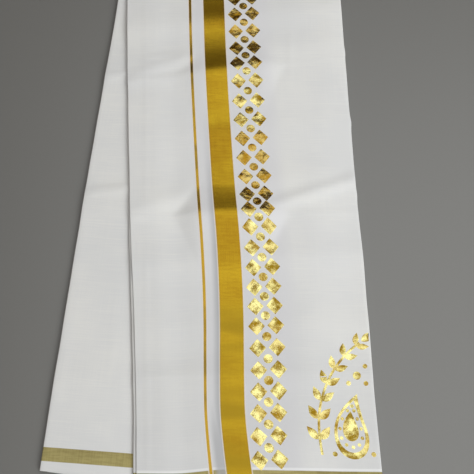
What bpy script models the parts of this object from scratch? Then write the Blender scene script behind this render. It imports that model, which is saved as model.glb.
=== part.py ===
"""A white cotton dhoti with a gold border, folded into a strip and laid flat.

The cloth is one woven length, folded into eight panels, so the strip is as long
as the cloth is wide. It lies along Y with its near hem at -Y. The upper four
panels are stacked at a slight angle on the lower four:

    front_panel    the outermost panel: the cloth's cut end on its left, and the
                   fold into the next panel on its right
    second_panel   the panel under it, whose left fold stands a little proud
    rear_panel     the top panel of the lower group, fanned out to the left
    lower_panel    the panel under that, which shows below its hem
    folded_layers  the four hidden panels, as one core with layered edges

Metres, +Z up. The origin is the centre of the footprint, on the surface that
the cloth lies on.
"""

import math
from dataclasses import dataclass
from typing import Callable, NamedTuple

import bmesh
import bpy

# The cloth's width is the strip's length. The hems lie a little askew, so they reach past it.
CLOTH_WIDTH = 1.270
HEM_SLIP = 0.005
NEAR_END = -(CLOTH_WIDTH / 2 + HEM_SLIP)
FAR_END = CLOTH_WIDTH / 2 + HEM_SLIP

# Walls, and the spacing of one wall on another.
WALL = 0.0012
GAP = 0.00035
PITCH = WALL + GAP
FOLD_RADIUS = PITCH / 2
FOLD_STEPS = 4

# The core: the layers that stay hidden under either group.
CORE_LAYERS = 2
CORE_LAYER = 0.0010
CORE_HEIGHT = CORE_LAYERS * CORE_LAYER
CORE_STEP_IN = 0.0006
CORE_EDGE_ROUND = 0.0005
CORE_EDGE_RISE = 0.30
CORE_CORNER = 0.008
CORNER_STEPS = 4
CORE_LEFT_INSET = 0.0035
CORE_RIGHT_INSET = 0.0030
CORE_NEAR_LEFT = -0.6090
CORE_NEAR_RIGHT = -0.6330
CORE_FAR = 0.6260

# How the panels are tucked and lifted.
SHORT_TUCK = 0.006
LONG_TUCK = 0.026
LIFT_RUN = 0.030
DROP_START = 0.004
DROP_RUN = 0.065

# Spacing of the points that the panels are built from.
ROW_SPACING = 0.045
ROW_MERGE = 0.009
HEM_CLEARANCE = 0.008

# How far each ridge's crest is rounded, along the strip.
CREST_ROUND = 0.008

# Bleached cotton, a shade apart on each stretch.
COTTON_ROUGHNESS = 0.85
TINTS = {
    "front_panel": (0.80, 0.80, 0.79),
    "second_panel": (0.76, 0.77, 0.77),
    "rear_panel": (0.78, 0.78, 0.77),
    "lower_panel": (0.74, 0.75, 0.75),
    "folded_layers": (0.72, 0.73, 0.73),
}


class FrontEdge(NamedTuple):
    """The front panel's sides at one place along the strip."""

    y: float
    left: float
    right: float
    second_proud: float


class RearEdge(NamedTuple):
    """The rear panel's sides at one place along the strip."""

    y: float
    left: float
    right: float


class HemPoint(NamedTuple):
    """A place along a hem: how far across the panel it lies, from 0 to 1, and its y."""

    across: float
    y: float


class Ridge(NamedTuple):
    """A creased ridge across the strip: its crest, the run of each side, and its height.

    It keeps the share called left or right of its height towards that side of the strip.
    """

    y: float
    lean: float
    near: float
    far: float
    height: float
    left: float = 1.0
    right: float = 1.0


FRONT_EDGES = (
    FrontEdge(y=NEAR_END, left=-0.0728, right=0.1720, second_proud=0.0036),
    FrontEdge(y=-0.6120, left=-0.0743, right=0.1713, second_proud=0.0036),
    FrontEdge(y=-0.5430, left=-0.0771, right=0.1680, second_proud=0.0034),
    FrontEdge(y=-0.4580, left=-0.0824, right=0.1656, second_proud=0.0032),
    FrontEdge(y=-0.3680, left=-0.0893, right=0.1622, second_proud=0.0026),
    FrontEdge(y=-0.3200, left=-0.0924, right=0.1596, second_proud=0.0014),
    FrontEdge(y=-0.1700, left=-0.1010, right=0.1543, second_proud=0.0006),
    FrontEdge(y=-0.0580, left=-0.1061, right=0.1508, second_proud=0.0006),
    FrontEdge(y=0.2000, left=-0.1177, right=0.1392, second_proud=0.0006),
    FrontEdge(y=FAR_END, left=-0.1373, right=0.1196, second_proud=0.0006),
)
REAR_EDGES = (
    RearEdge(y=NEAR_END, left=-0.1743, right=0.0746),
    RearEdge(y=-0.5430, left=-0.1661, right=0.0822),
    RearEdge(y=-0.4580, left=-0.1580, right=0.0898),
    RearEdge(y=-0.3200, left=-0.1450, right=0.1020),
    RearEdge(y=-0.1700, left=-0.1296, right=0.1180),
    RearEdge(y=-0.0580, left=-0.1182, right=0.1305),
    RearEdge(y=0.1080, left=-0.1080, right=0.1417),
    RearEdge(y=0.2000, left=-0.1116, right=0.1380),
    RearEdge(y=FAR_END, left=-0.1312, right=0.1184),
)

# Ridges are placed along the gold band, and lean up to the right from there.
RIDGE_LINE_X = 0.012
RIDGE_LEFT_X = -0.012
RIDGE_RIGHT_X = 0.052
RIDGE_FADE = 0.040
FRONT_RIDGES = (
    Ridge(y=-0.519, lean=0.02, near=0.036, far=0.024, height=0.0012, left=0.5, right=0.5),
    Ridge(y=-0.338, lean=0.18, near=0.070, far=0.037, height=0.0056, left=0.4, right=0.5),
    Ridge(y=-0.158, lean=0.14, near=0.060, far=0.021, height=0.0032, left=0.4, right=0.3),
    Ridge(y=-0.086, lean=0.12, near=0.026, far=0.020, height=0.0010),
    Ridge(y=0.110, lean=0.08, near=0.060, far=0.040, height=0.0024, left=0.6, right=0.8),
    Ridge(y=0.324, lean=0.04, near=0.060, far=0.040, height=0.0020, left=0.9, right=0.4),
    Ridge(y=0.535, lean=0.00, near=0.040, far=0.030, height=0.0012),
)
REAR_RIDGES = (
    Ridge(y=-0.517, lean=0.02, near=0.030, far=0.020, height=0.0004),
    Ridge(y=-0.305, lean=0.14, near=0.040, far=0.028, height=0.0009),
    Ridge(y=-0.135, lean=0.14, near=0.040, far=0.028, height=0.0009),
    Ridge(y=0.110, lean=0.08, near=0.040, far=0.030, height=0.0008),
)


def smooth_step(amount: float) -> float:
    """Ease from 0 to 1 as amount goes from 0 to 1."""
    held = min(max(amount, 0.0), 1.0)
    return held * held * (3.0 - 2.0 * held)


def through(rows: tuple, key: str, column: str, place: float) -> float:
    """Read a table's column where its key is place, on a smooth curve through its rows."""
    keys = [getattr(row, key) for row in rows]
    values = [getattr(row, column) for row in rows]
    last = len(rows) - 1
    index = 0
    while index < last - 1 and place > keys[index + 1]:
        index += 1

    def slope(at: int) -> float:
        before = max(at - 1, 0)
        after = min(at + 1, last)
        return (values[after] - values[before]) / (keys[after] - keys[before])

    span = keys[index + 1] - keys[index]
    t = min(max((place - keys[index]) / span, 0.0), 1.0)
    rise = (values[index + 1] - values[index]) * t * t * (3.0 - 2.0 * t)
    leave = slope(index) * span * t * (1.0 - t) * (1.0 - t)
    arrive = slope(index + 1) * span * t * t * (1.0 - t)
    return values[index] + rise + leave - arrive


def front_left(y: float) -> float:
    """The cut end of the cloth, on the front panel's left."""
    return through(FRONT_EDGES, "y", "left", y)


def front_right(y: float) -> float:
    """The outside of the front panel's right fold."""
    return through(FRONT_EDGES, "y", "right", y)


def second_left(y: float) -> float:
    """The outside of the second panel's left fold."""
    return front_left(y) - through(FRONT_EDGES, "y", "second_proud", y)


def second_right(y: float) -> float:
    """Where the second panel meets the front panel's tuck."""
    return front_right(y) - WALL / 2 - FOLD_RADIUS - SHORT_TUCK - GAP


def rear_left(y: float) -> float:
    """The outside of the rear panel's left fold."""
    return through(REAR_EDGES, "y", "left", y)


def rear_right(y: float) -> float:
    """The hidden right side of the lower group."""
    return through(REAR_EDGES, "y", "right", y)


def lower_left(y: float) -> float:
    """Where the lower panel meets the rear panel's tuck."""
    return rear_left(y) + WALL / 2 + FOLD_RADIUS + SHORT_TUCK + GAP


def ridge_share(ridge: Ridge, x: float) -> float:
    """How much of its height a ridge keeps at one place across the strip."""
    to_left = smooth_step((RIDGE_LEFT_X - x) / RIDGE_FADE)
    to_right = smooth_step((x - RIDGE_RIGHT_X) / RIDGE_FADE)
    return 1.0 - (1.0 - ridge.left) * to_left - (1.0 - ridge.right) * to_right


def ridge_height(ridges: tuple, x: float, y: float) -> float:
    """How far a set of ridges lifts the cloth at one point."""
    lift = 0.0
    for ridge in ridges:
        past = y - ridge.y - ridge.lean * (x - RIDGE_LINE_X)
        side = ridge.far if past > 0.0 else ridge.near
        away = math.hypot(past, CREST_ROUND) - CREST_ROUND
        left = max(1.0 - away / side, 0.0)
        lift += ridge_share(ridge, x) * ridge.height * left * left
    return lift


def rear_height(x: float, y: float) -> float:
    """The middle of the rear panel's wall."""
    return CORE_HEIGHT + GAP + WALL / 2 + PITCH + ridge_height(REAR_RIDGES, x, y)


def lower_height(x: float, y: float) -> float:
    """The middle of the lower panel's wall."""
    return rear_height(x, y) - PITCH


def second_height(x: float, y: float) -> float:
    """The middle of the second panel's wall, over the lower group or beside it."""
    over = 1.0 - smooth_step((x - rear_right(y) - DROP_START) / DROP_RUN)
    tuck_end = second_left(y) + LONG_TUCK + GAP
    lift = 1.0 - smooth_step((x - tuck_end) / LIFT_RUN)
    group = 2 * PITCH + ridge_height(REAR_RIDGES, x, y)
    base = CORE_HEIGHT + GAP + WALL / 2 + over * group + lift * PITCH
    return base + ridge_height(FRONT_RIDGES, x, y)


def front_height(x: float, y: float) -> float:
    """The middle of the front panel's wall."""
    return second_height(x, y) + PITCH


class SectionPoint(NamedTuple):
    """A point across a panel: its x, where its height is read, and its drop."""

    x: float
    height_x: float
    drop: float


@dataclass
class Panel:
    """One stretch of cloth, with at most one side folded under."""

    name: str
    left: Callable[[float], float]
    right: Callable[[float], float]
    height: Callable[[float, float], float]
    near_hem: tuple
    far_hem: tuple
    columns: int
    fold_side: int = 0
    tuck: float = 0.0
    tuck_columns: int = 1

    def section(self, y: float) -> list:
        """Points across the panel at y, in order from left to right over the top."""
        free, folded = self.left(y), self.right(y)
        if self.fold_side < 0:
            free, folded = folded, free
        side = self.fold_side
        flat_end = folded - side * (WALL / 2 + FOLD_RADIUS)
        points = []
        for column in range(self.columns + 1):
            x = free + (flat_end - free) * column / self.columns
            points.append(SectionPoint(x, x, 0.0))
        if side != 0:
            for step in range(1, FOLD_STEPS + 1):
                angle = math.pi * step / FOLD_STEPS
                x = flat_end + side * FOLD_RADIUS * math.sin(angle)
                drop = FOLD_RADIUS * (1.0 - math.cos(angle))
                points.append(SectionPoint(x, flat_end, drop))
            for step in range(1, self.tuck_columns + 1):
                x = flat_end - side * self.tuck * step / self.tuck_columns
                points.append(SectionPoint(x, x, PITCH))
        if side < 0:
            points.reverse()
        return points


PANELS = (
    Panel(
        name="front_panel",
        left=front_left,
        right=front_right,
        height=front_height,
        near_hem=(
            HemPoint(across=0.00, y=NEAR_END),
            HemPoint(across=0.17, y=-0.6400),
            HemPoint(across=0.34, y=-0.6363),
            HemPoint(across=0.46, y=-0.6364),
            HemPoint(across=0.64, y=-0.6372),
            HemPoint(across=1.00, y=-0.6382),
        ),
        far_hem=(HemPoint(across=0.0, y=0.6300), HemPoint(across=1.0, y=0.6320)),
        columns=13,
        fold_side=1,
        tuck=SHORT_TUCK,
    ),
    Panel(
        name="second_panel",
        left=second_left,
        right=second_right,
        height=second_height,
        near_hem=(HemPoint(across=0.0, y=-0.6396), HemPoint(across=1.0, y=-0.6375)),
        far_hem=(HemPoint(across=0.0, y=FAR_END), HemPoint(across=1.0, y=0.6320)),
        columns=12,
        fold_side=-1,
        tuck=LONG_TUCK,
        tuck_columns=2,
    ),
    Panel(
        name="rear_panel",
        left=rear_left,
        right=rear_right,
        height=rear_height,
        near_hem=(HemPoint(across=0.0, y=-0.6130), HemPoint(across=1.0, y=-0.6315)),
        far_hem=(HemPoint(across=0.0, y=0.6320), HemPoint(across=1.0, y=0.6280)),
        columns=10,
        fold_side=-1,
        tuck=SHORT_TUCK,
    ),
    Panel(
        name="lower_panel",
        left=lower_left,
        right=rear_right,
        height=lower_height,
        near_hem=(
            HemPoint(across=0.0, y=-0.6139),
            HemPoint(across=0.4, y=-0.6255),
            HemPoint(across=1.0, y=-0.6340),
        ),
        far_hem=(HemPoint(across=0.0, y=0.6290), HemPoint(across=1.0, y=0.6310)),
        columns=8,
    ),
)


class CoreRing(NamedTuple):
    """One level round the core: its height, and how far in from its outline."""

    z: float
    inset: float


def core_rings() -> list:
    """The rounded edge of each layer of the core, bottom to top."""
    rings = []
    for layer in range(CORE_LAYERS):
        base = layer * CORE_LAYER
        rise = CORE_EDGE_RISE * CORE_LAYER
        step_in = layer * CORE_STEP_IN
        rings.append(CoreRing(base, step_in + CORE_EDGE_ROUND))
        rings.append(CoreRing(base + rise, step_in))
        rings.append(CoreRing(base + CORE_LAYER - rise, step_in))
    top_in = (CORE_LAYERS - 1) * CORE_STEP_IN + CORE_EDGE_ROUND
    rings.append(CoreRing(CORE_HEIGHT, top_in))
    return rings


def row_stations() -> list:
    """Places along the strip for the rows of points, closer together at ridges."""
    start = NEAR_END + 2 * HEM_CLEARANCE
    end = FAR_END - 2 * HEM_CLEARANCE
    marks = [start, end]
    crests = []
    for ridge in FRONT_RIDGES + REAR_RIDGES:
        crests.append(ridge.y)
        for mark in (-ridge.near, -ridge.near / 2, ridge.far / 2, ridge.far):
            marks.append(ridge.y + mark)
    kept = sorted(set(crests))
    for mark in sorted(marks):
        if all(abs(mark - other) >= ROW_MERGE for other in kept):
            kept.append(mark)
    kept = sorted(mark for mark in kept if start <= mark <= end)
    filled = [kept[0]]
    for mark in kept[1:]:
        steps = math.ceil((mark - filled[-1]) / ROW_SPACING)
        base = filled[-1]
        for step in range(1, steps + 1):
            filled.append(base + (mark - base) * step / steps)
    return filled


def row_lean(y: float) -> float:
    """How far the rows of points lean at y, so that they follow the ridges."""
    known = [(NEAR_END, 0.0)]
    known += [(ridge.y, ridge.lean) for ridge in FRONT_RIDGES]
    known.append((FAR_END, 0.0))
    for (y_before, before), (y_after, after) in zip(known, known[1:]):
        if y <= y_after:
            return before + (after - before) * (y - y_before) / (y_after - y_before)
    return 0.0


def panel_rows(panel: Panel) -> list:
    """Every point of a panel's middle surface, row by row from its near hem."""
    first = max(point.y for point in panel.near_hem) + HEM_CLEARANCE
    last = min(point.y for point in panel.far_hem) - HEM_CLEARANCE
    stations = [y for y in row_stations() if first <= y <= last]
    rows = []
    for index in range(len(stations) + 2):
        hem = None
        if index == 0:
            hem = panel.near_hem
        elif index == len(stations) + 1:
            hem = panel.far_hem
        base_y = through(hem, "across", "y", 0.5) if hem else stations[index - 1]
        left, right = panel.left(base_y), panel.right(base_y)
        row = []
        for number, point in enumerate(panel.section(base_y)):
            if hem:
                y = through(hem, "across", "y", (point.x - left) / (right - left))
            else:
                y = base_y + row_lean(base_y) * (point.x - RIDGE_LINE_X)
            exact = panel.section(y)[number]
            z = panel.height(exact.height_x, y) - exact.drop
            row.append((exact.x, y, z))
        rows.append(row)
    return rows


def build_panel(panel: Panel, collection: bpy.types.Collection) -> bpy.types.Object:
    """Lay a grid over the panel's form, and thicken it to the cloth's wall."""
    rows = panel_rows(panel)
    shape = bmesh.new()
    bmesh.ops.create_grid(
        shape,
        x_segments=len(rows[0]) - 1,
        y_segments=len(rows) - 1,
        size=1.0,
    )
    shape.verts.ensure_lookup_table()
    points = [point for row in rows for point in row]
    for vertex, point in zip(shape.verts, points):
        vertex.co = point
    mesh = bpy.data.meshes.new(panel.name)
    shape.to_mesh(mesh)
    shape.free()
    mesh.shade_smooth()
    piece = bpy.data.objects.new(panel.name, mesh)
    collection.objects.link(piece)
    wall = piece.modifiers.new("cloth_wall", "SOLIDIFY")
    wall.thickness = WALL
    wall.offset = 0.0
    wall.use_even_offset = False
    return piece


def core_outline(inset: float) -> list:
    """The core's outline seen from above, anticlockwise, moved in by inset."""
    round_by = CORE_CORNER - inset

    def left(y: float) -> float:
        return rear_left(y) + CORE_LEFT_INSET

    def right(y: float) -> float:
        return front_right(y) - CORE_RIGHT_INSET

    def corner(centre: tuple, first_quarter: int) -> list:
        arc = []
        for step in range(CORNER_STEPS + 1):
            angle = math.pi / 2 * (first_quarter + step / CORNER_STEPS)
            x = centre[0] + round_by * math.cos(angle)
            arc.append((x, centre[1] + round_by * math.sin(angle)))
        return arc

    low_left = CORE_NEAR_LEFT + CORE_CORNER
    low_right = CORE_NEAR_RIGHT + CORE_CORNER
    high = CORE_FAR - CORE_CORNER
    outline = corner((left(low_left) + CORE_CORNER, low_left), 2)
    outline += corner((right(low_right) - CORE_CORNER, low_right), 3)
    steps = math.ceil((high - low_right) / ROW_SPACING)
    for step in range(1, steps):
        y = low_right + (high - low_right) * step / steps
        outline.append((right(y) - inset, y))
    outline += corner((right(high) - CORE_CORNER, high), 0)
    outline += corner((left(high) + CORE_CORNER, high), 1)
    for step in range(1, steps):
        y = high + (low_left - high) * step / steps
        outline.append((left(y) + inset, y))
    return outline


def build_core(collection: bpy.types.Collection) -> bpy.types.Object:
    """Loft the hidden layers through one ring of points for each level."""
    name = "folded_layers"
    shape = bmesh.new()
    loops = []
    for ring in core_rings():
        verts = [shape.verts.new((x, y, ring.z)) for x, y in core_outline(ring.inset)]
        loops.append(verts)
    for lower, upper in zip(loops, loops[1:]):
        for index in range(len(lower)):
            after = (index + 1) % len(lower)
            shape.faces.new((lower[index], lower[after], upper[after], upper[index]))
    shape.faces.new(reversed(loops[0]))
    shape.faces.new(loops[-1])
    mesh = bpy.data.meshes.new(name)
    shape.to_mesh(mesh)
    shape.free()
    piece = bpy.data.objects.new(name, mesh)
    collection.objects.link(piece)
    return piece


def cotton(name: str) -> bpy.types.Material:
    """A bleached cotton for one stretch of the cloth."""
    tint = (*TINTS[name], 1.0)
    material = bpy.data.materials.new(name)
    material.use_nodes = True
    shader = material.node_tree.nodes["Principled BSDF"]
    shader.inputs["Base Color"].default_value = tint
    shader.inputs["Roughness"].default_value = COTTON_ROUGHNESS
    shader.inputs["Metallic"].default_value = 0.0
    material.diffuse_color = tint
    return material


def clear_scene() -> None:
    """Remove every object, so that the part is built on its own."""
    for leftover in list(bpy.data.objects):
        bpy.data.objects.remove(leftover, do_unlink=True)


def main() -> None:
    """Build the folded cloth in a collection of its own."""
    clear_scene()
    collection = bpy.data.collections.new("dhoti_cloth")
    bpy.context.scene.collection.children.link(collection)
    strip = bpy.data.objects.new("strip", None)
    collection.objects.link(strip)
    pieces = [build_panel(panel, collection) for panel in PANELS]
    pieces.append(build_core(collection))
    for piece in pieces:
        piece.data.materials.append(cotton(piece.name))
        piece.parent = strip


main()
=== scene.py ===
"""The looks of a white cotton dhoti with a gold border, folded into a strip and laid flat.

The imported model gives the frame. Every stretch of the cloth is a thin shell on the middle
surface of its solid, with the folds, hems and creases of the real cloth. Each shell carries a
map of the flat cloth, in which the weave, the woven gold band, the gold line and the hem
stripes are drawn. The gold foil is a thin film of its own, pressed on the front panel.

Metres, +Z up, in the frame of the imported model: the strip lies along Y, its near hem at -Y.
"""

import logging
import math
from bisect import bisect_right
from collections.abc import Callable, Sequence
from dataclasses import dataclass, field
from enum import Enum
from typing import NamedTuple

import bmesh
import bpy
from mathutils import Euler, Matrix, Vector, noise


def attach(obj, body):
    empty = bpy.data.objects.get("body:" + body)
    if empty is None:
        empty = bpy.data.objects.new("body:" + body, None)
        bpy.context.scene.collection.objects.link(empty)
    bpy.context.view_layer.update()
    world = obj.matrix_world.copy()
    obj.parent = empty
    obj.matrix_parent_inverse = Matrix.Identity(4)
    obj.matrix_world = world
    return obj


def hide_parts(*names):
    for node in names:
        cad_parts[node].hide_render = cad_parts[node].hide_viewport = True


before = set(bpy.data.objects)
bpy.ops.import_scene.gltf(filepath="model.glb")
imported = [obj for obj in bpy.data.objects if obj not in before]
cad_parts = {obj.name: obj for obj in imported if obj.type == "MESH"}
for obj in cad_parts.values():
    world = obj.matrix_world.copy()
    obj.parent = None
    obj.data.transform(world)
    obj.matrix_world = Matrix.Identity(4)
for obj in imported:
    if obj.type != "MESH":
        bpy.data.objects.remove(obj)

Colour = tuple[float, float, float]
Point = tuple[float, float, float]
Scales = tuple[float, float, float]
Span = tuple[float, float]
Socket = bpy.types.NodeSocket
Sockets = bpy.types.bpy_prop_collection

LOG = logging.getLogger("dhoti_cloth")
ROOT = "root"

# The cloth, and what the fold makes of it.
CLOTH_WIDTH = 1.270
NEAR_END = -0.640
FAR_END = 0.640

# The solids' walls and spacing, the thinner wall of the shells on their middle surfaces, and
# the height of the lowest panel's middle surface.
WALL = 0.0012
GAP = 0.00035
PITCH = WALL + GAP
SHELL = 0.0008
CORE_HEIGHT = 0.002
HIDDEN_SHELL = 0.0004
HIDDEN_PITCH = CORE_HEIGHT / 4
LOWEST_MIDDLE = CORE_HEIGHT + GAP + WALL / 2

# A hidden pair: its layers, the middle of its upper one in pitches, and where it is pressed.
PAIR_LAYERS = 2.0
PAIR_MIDDLE = 1.5
PRESS_START = 0.010
PRESS_RUN = 0.030

# How far in from the panels over them the hidden pairs' folds and ends lie.
LEFT_PAIR_FOLD_IN = 0.0030
LEFT_PAIR_END_IN = 0.0040
RIGHT_PAIR_FOLD_IN = 0.0026
RIGHT_PAIR_END_IN = 0.0060
PAIR_WANDER = 2.0

# How the panels are tucked and lifted. The next panel starts clear of a short tuck.
SHORT_TUCK = 0.006
TUCK_CLEAR = WALL / 2 + PITCH / 2 + SHORT_TUCK + GAP
LONG_TUCK = 0.026
LIFT_RUN = 0.030
DROP_START = 0.004
DROP_RUN = 0.065
FOLD_STEPS = 8
HEM_RUN = 0.040

# The slow unevenness of pressed cloth, in its height and along its sides.
WAVER_HEIGHT = 0.00030
WAVER_SCALE = 14.0
EDGE_WAVER = 0.00035
EDGE_WAVER_SCALE = 24.0
CREST_ROUND = 0.0080
SHARP_ANGLE = math.radians(60.0)

# How a fine crease fades: beside it in its widths, and along it in shares of its length.
CREASE_REACH = 3.0
CREASE_OVERRUN = 0.1
CREASE_FADE = 0.3

# The woven border on the front panel, across the cloth from its cut end, and how far the
# painted shade on the cloth runs beside the band, over it and up to the line.
BAND_START = 0.0905
BAND_END = 0.1155
EDGING = 0.0012
LINE_START = 0.0731
LINE_END = 0.0761
PAINTED_SHADE_BESIDE = 0.005
PAINTED_SHADE_OVER = 0.004
LINE_CLEAR = 0.004
STRIPE_MARGIN = 0.010
STRIPE_WIDTH = 0.014

# The map of the flat cloth: metres across and along, brought into the unit square.
FLAT_MAP = "flat_cloth"
MAP_SPAN = 1.32
MAP_START = -0.30
MAP_START_ALONG = -0.02

# The image's side in pixels, and the camera over the strip.
IMAGE_SIZE = 474
SENSOR_WIDTH = 36.0
FOCAL_PIXELS = 910.0
CAMERA_TILT = 20.0
CAMERA_PLACE: Point = (0.026, -0.7047, 0.9416)


class Side(Enum):
    """Which side of a stretch is folded under, as its sign along X."""

    LEFT = -1
    NONE = 0
    RIGHT = 1


class Run(Enum):
    """Which part of a panel's section a column of points lies on."""

    FLAT = "flat"
    FOLD = "fold"
    TUCK = "tuck"


class Wander(Enum):
    """A side that wanders a little, as the place in the noise that is its own."""

    FRONT_LEFT = 1.3
    FRONT_RIGHT = 2.7
    SECOND_LEFT = 4.1
    REAR_LEFT = 5.9
    HIDDEN_LEFT = 7.7
    HIDDEN_RIGHT = 9.3


class FrontEdge(NamedTuple):
    """The front panel's sides at one place along the strip."""

    y: float
    left: float
    right: float
    second_proud: float


class RearEdge(NamedTuple):
    """The rear panel's sides at one place along the strip."""

    y: float
    left: float
    right: float


class BandEdge(NamedTuple):
    """Where the gold band's left side runs at one place along the strip."""

    y: float
    x: float


class HemPoint(NamedTuple):
    """A place along a hem: how far across the panel it lies, from 0 to 1, and its y."""

    across: float
    y: float


class Ridge(NamedTuple):
    """A creased ridge across the strip: its crest, the run of each side, and its height.

    It keeps the share called left or right of its size towards that side of the strip.
    Its sides are straight at a bend of 1 and hollow above it.
    """

    y: float
    lean: float
    near: float
    far: float
    height: float
    left: float = 1.0
    right: float = 1.0
    bend: float = 2.0
    rounding: float = CREST_ROUND


class Crease(NamedTuple):
    """A fine pressed line between two places, with its height and its width."""

    start_x: float
    start_y: float
    end_x: float
    end_y: float
    height: float
    width: float


class Kink(NamedTuple):
    """A small outward kink in the front panel's right fold."""

    y: float
    size: float


FRONT_EDGES = (
    FrontEdge(y=NEAR_END, left=-0.0728, right=0.1720, second_proud=0.0036),
    FrontEdge(y=-0.6120, left=-0.0743, right=0.1713, second_proud=0.0036),
    FrontEdge(y=-0.5430, left=-0.0771, right=0.1680, second_proud=0.0034),
    FrontEdge(y=-0.4580, left=-0.0824, right=0.1656, second_proud=0.0032),
    FrontEdge(y=-0.3680, left=-0.0893, right=0.1622, second_proud=0.0026),
    FrontEdge(y=-0.3200, left=-0.0924, right=0.1596, second_proud=0.0014),
    FrontEdge(y=-0.1700, left=-0.1010, right=0.1543, second_proud=0.0006),
    FrontEdge(y=-0.0580, left=-0.1061, right=0.1508, second_proud=0.0006),
    FrontEdge(y=0.2000, left=-0.1177, right=0.1392, second_proud=0.0006),
    FrontEdge(y=FAR_END, left=-0.1373, right=0.1196, second_proud=0.0006),
)
REAR_EDGES = (
    RearEdge(y=NEAR_END, left=-0.1743, right=0.0746),
    RearEdge(y=-0.5430, left=-0.1661, right=0.0822),
    RearEdge(y=-0.4580, left=-0.1580, right=0.0898),
    RearEdge(y=-0.3200, left=-0.1450, right=0.1020),
    RearEdge(y=-0.1700, left=-0.1296, right=0.1180),
    RearEdge(y=-0.0580, left=-0.1182, right=0.1305),
    RearEdge(y=0.1080, left=-0.1080, right=0.1417),
    RearEdge(y=0.2000, left=-0.1116, right=0.1380),
    RearEdge(y=FAR_END, left=-0.1312, right=0.1184),
)
BAND_EDGES = (
    BandEdge(y=NEAR_END, x=0.0190),
    BandEdge(y=-0.6157, x=0.0159),
    BandEdge(y=-0.5920, x=0.0128),
    BandEdge(y=-0.5638, x=0.0098),
    BandEdge(y=-0.5434, x=0.0087),
    BandEdge(y=-0.5015, x=0.0082),
    BandEdge(y=-0.4583, x=0.0079),
    BandEdge(y=-0.4138, x=0.0065),
    BandEdge(y=-0.3655, x=0.0037),
    BandEdge(y=-0.3083, x=-0.0012),
    BandEdge(y=-0.2488, x=-0.0053),
    BandEdge(y=-0.1869, x=-0.0092),
    BandEdge(y=-0.1224, x=-0.0125),
    BandEdge(y=-0.0552, x=-0.0150),
    BandEdge(y=0.2000, x=-0.0267),
    BandEdge(y=FAR_END, x=-0.0463),
)

# Ridges are placed along the gold band, and lean up to the right from there. Past the left
# and the right place they fade to the shares that they keep.
RIDGE_LINE_X = 0.012
RIDGE_LEFT_X = -0.012
RIDGE_RIGHT_X = 0.052
RIDGE_FADE = 0.036
FRONT_RIDGES = (
    Ridge(y=-0.519, lean=0.02, near=0.036, far=0.024, height=0.0012, left=0.5, right=0.5),
    Ridge(
        y=-0.339,
        lean=0.03,
        near=0.052,
        far=0.032,
        height=0.0058,
        left=0.06,
        right=0.06,
        bend=1.35,
        rounding=0.0045,
    ),
    Ridge(
        y=-0.158,
        lean=0.14,
        near=0.060,
        far=0.021,
        height=0.0032,
        left=0.25,
        right=0.06,
        rounding=0.0120,
    ),
    Ridge(y=-0.086, lean=0.12, near=0.038, far=0.044, height=0.0015),
    Ridge(y=0.110, lean=0.08, near=0.060, far=0.040, height=0.0024, left=0.6, right=0.8),
    Ridge(y=0.324, lean=0.04, near=0.060, far=0.040, height=0.0020, left=0.9, right=0.4),
    Ridge(y=0.535, lean=0.00, near=0.040, far=0.030, height=0.0012),
)
REAR_RIDGES = (
    Ridge(y=-0.517, lean=0.02, near=0.030, far=0.020, height=0.0004),
    Ridge(y=-0.305, lean=0.14, near=0.040, far=0.028, height=0.0009),
    Ridge(y=-0.135, lean=0.14, near=0.040, far=0.028, height=0.0009),
    Ridge(y=0.110, lean=0.08, near=0.040, far=0.030, height=0.0008),
)
FINE_RIDGES = (
    Ridge(y=-0.583, lean=0.02, near=0.022, far=0.018, height=0.0003),
    Ridge(y=-0.463, lean=0.03, near=0.030, far=0.022, height=0.0005),
    Ridge(y=-0.391, lean=0.06, near=0.024, far=0.024, height=0.0010),
    Ridge(y=-0.236, lean=0.10, near=0.026, far=0.020, height=0.0003),
    Ridge(y=0.020, lean=0.08, near=0.030, far=0.022, height=0.0005),
    Ridge(y=0.226, lean=0.04, near=0.030, far=0.022, height=0.0005),
    Ridge(y=0.441, lean=0.02, near=0.026, far=0.020, height=0.0004),
)
RIGHT_KINKS = (
    Kink(y=-0.132, size=0.0007),
    Kink(y=-0.224, size=0.0009),
    Kink(y=-0.313, size=0.0007),
    Kink(y=0.096, size=0.0006),
    Kink(y=0.331, size=0.0006),
)
KINK_RUN = 0.007

# Each crease runs from one place to another, and then has its height and its width.
FRONT_CREASES = (
    Crease(-0.0841, -0.055, -0.0731, -0.362, 0.00030, 0.0018),
    Crease(-0.0731, -0.362, -0.0625, -0.630, 0.00026, 0.0016),
    Crease(-0.1020, 0.560, -0.0841, -0.055, 0.00018, 0.0018),
    Crease(-0.0749, -0.5247, 0.0739, -0.5195, -0.00030, 0.0020),
    Crease(0.0739, -0.5195, 0.1543, -0.5174, -0.00030, 0.0020),
    Crease(-0.1000, -0.3400, -0.0240, -0.3140, 0.00120, 0.0110),
    Crease(0.0560, -0.3310, 0.1750, -0.2900, 0.00200, 0.0080),
    Crease(-0.1040, -0.1700, -0.0280, -0.1380, 0.00110, 0.0085),
    Crease(-0.0829, -0.1429, -0.0464, -0.1347, 0.00040, 0.0022),
    Crease(0.1282, -0.0920, 0.1519, -0.1003, 0.00035, 0.0020),
    Crease(0.1257, -0.2078, 0.1544, -0.2130, 0.00035, 0.0020),
    Crease(0.1422, -0.1697, 0.1528, -0.1974, 0.00045, 0.0022),
    Crease(0.0896, -0.0975, 0.0881, -0.1724, 0.00025, 0.0030),
    Crease(-0.0780, -0.2195, -0.0240, -0.2195, 0.00016, 0.0040),
    Crease(-0.0700, -0.4373, -0.0040, -0.4373, 0.00016, 0.0040),
    Crease(-0.0600, 0.2080, 0.1080, 0.2220, -0.00022, 0.0024),
    Crease(0.0300, 0.4300, 0.1100, 0.4180, 0.00030, 0.0030),
)
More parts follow.
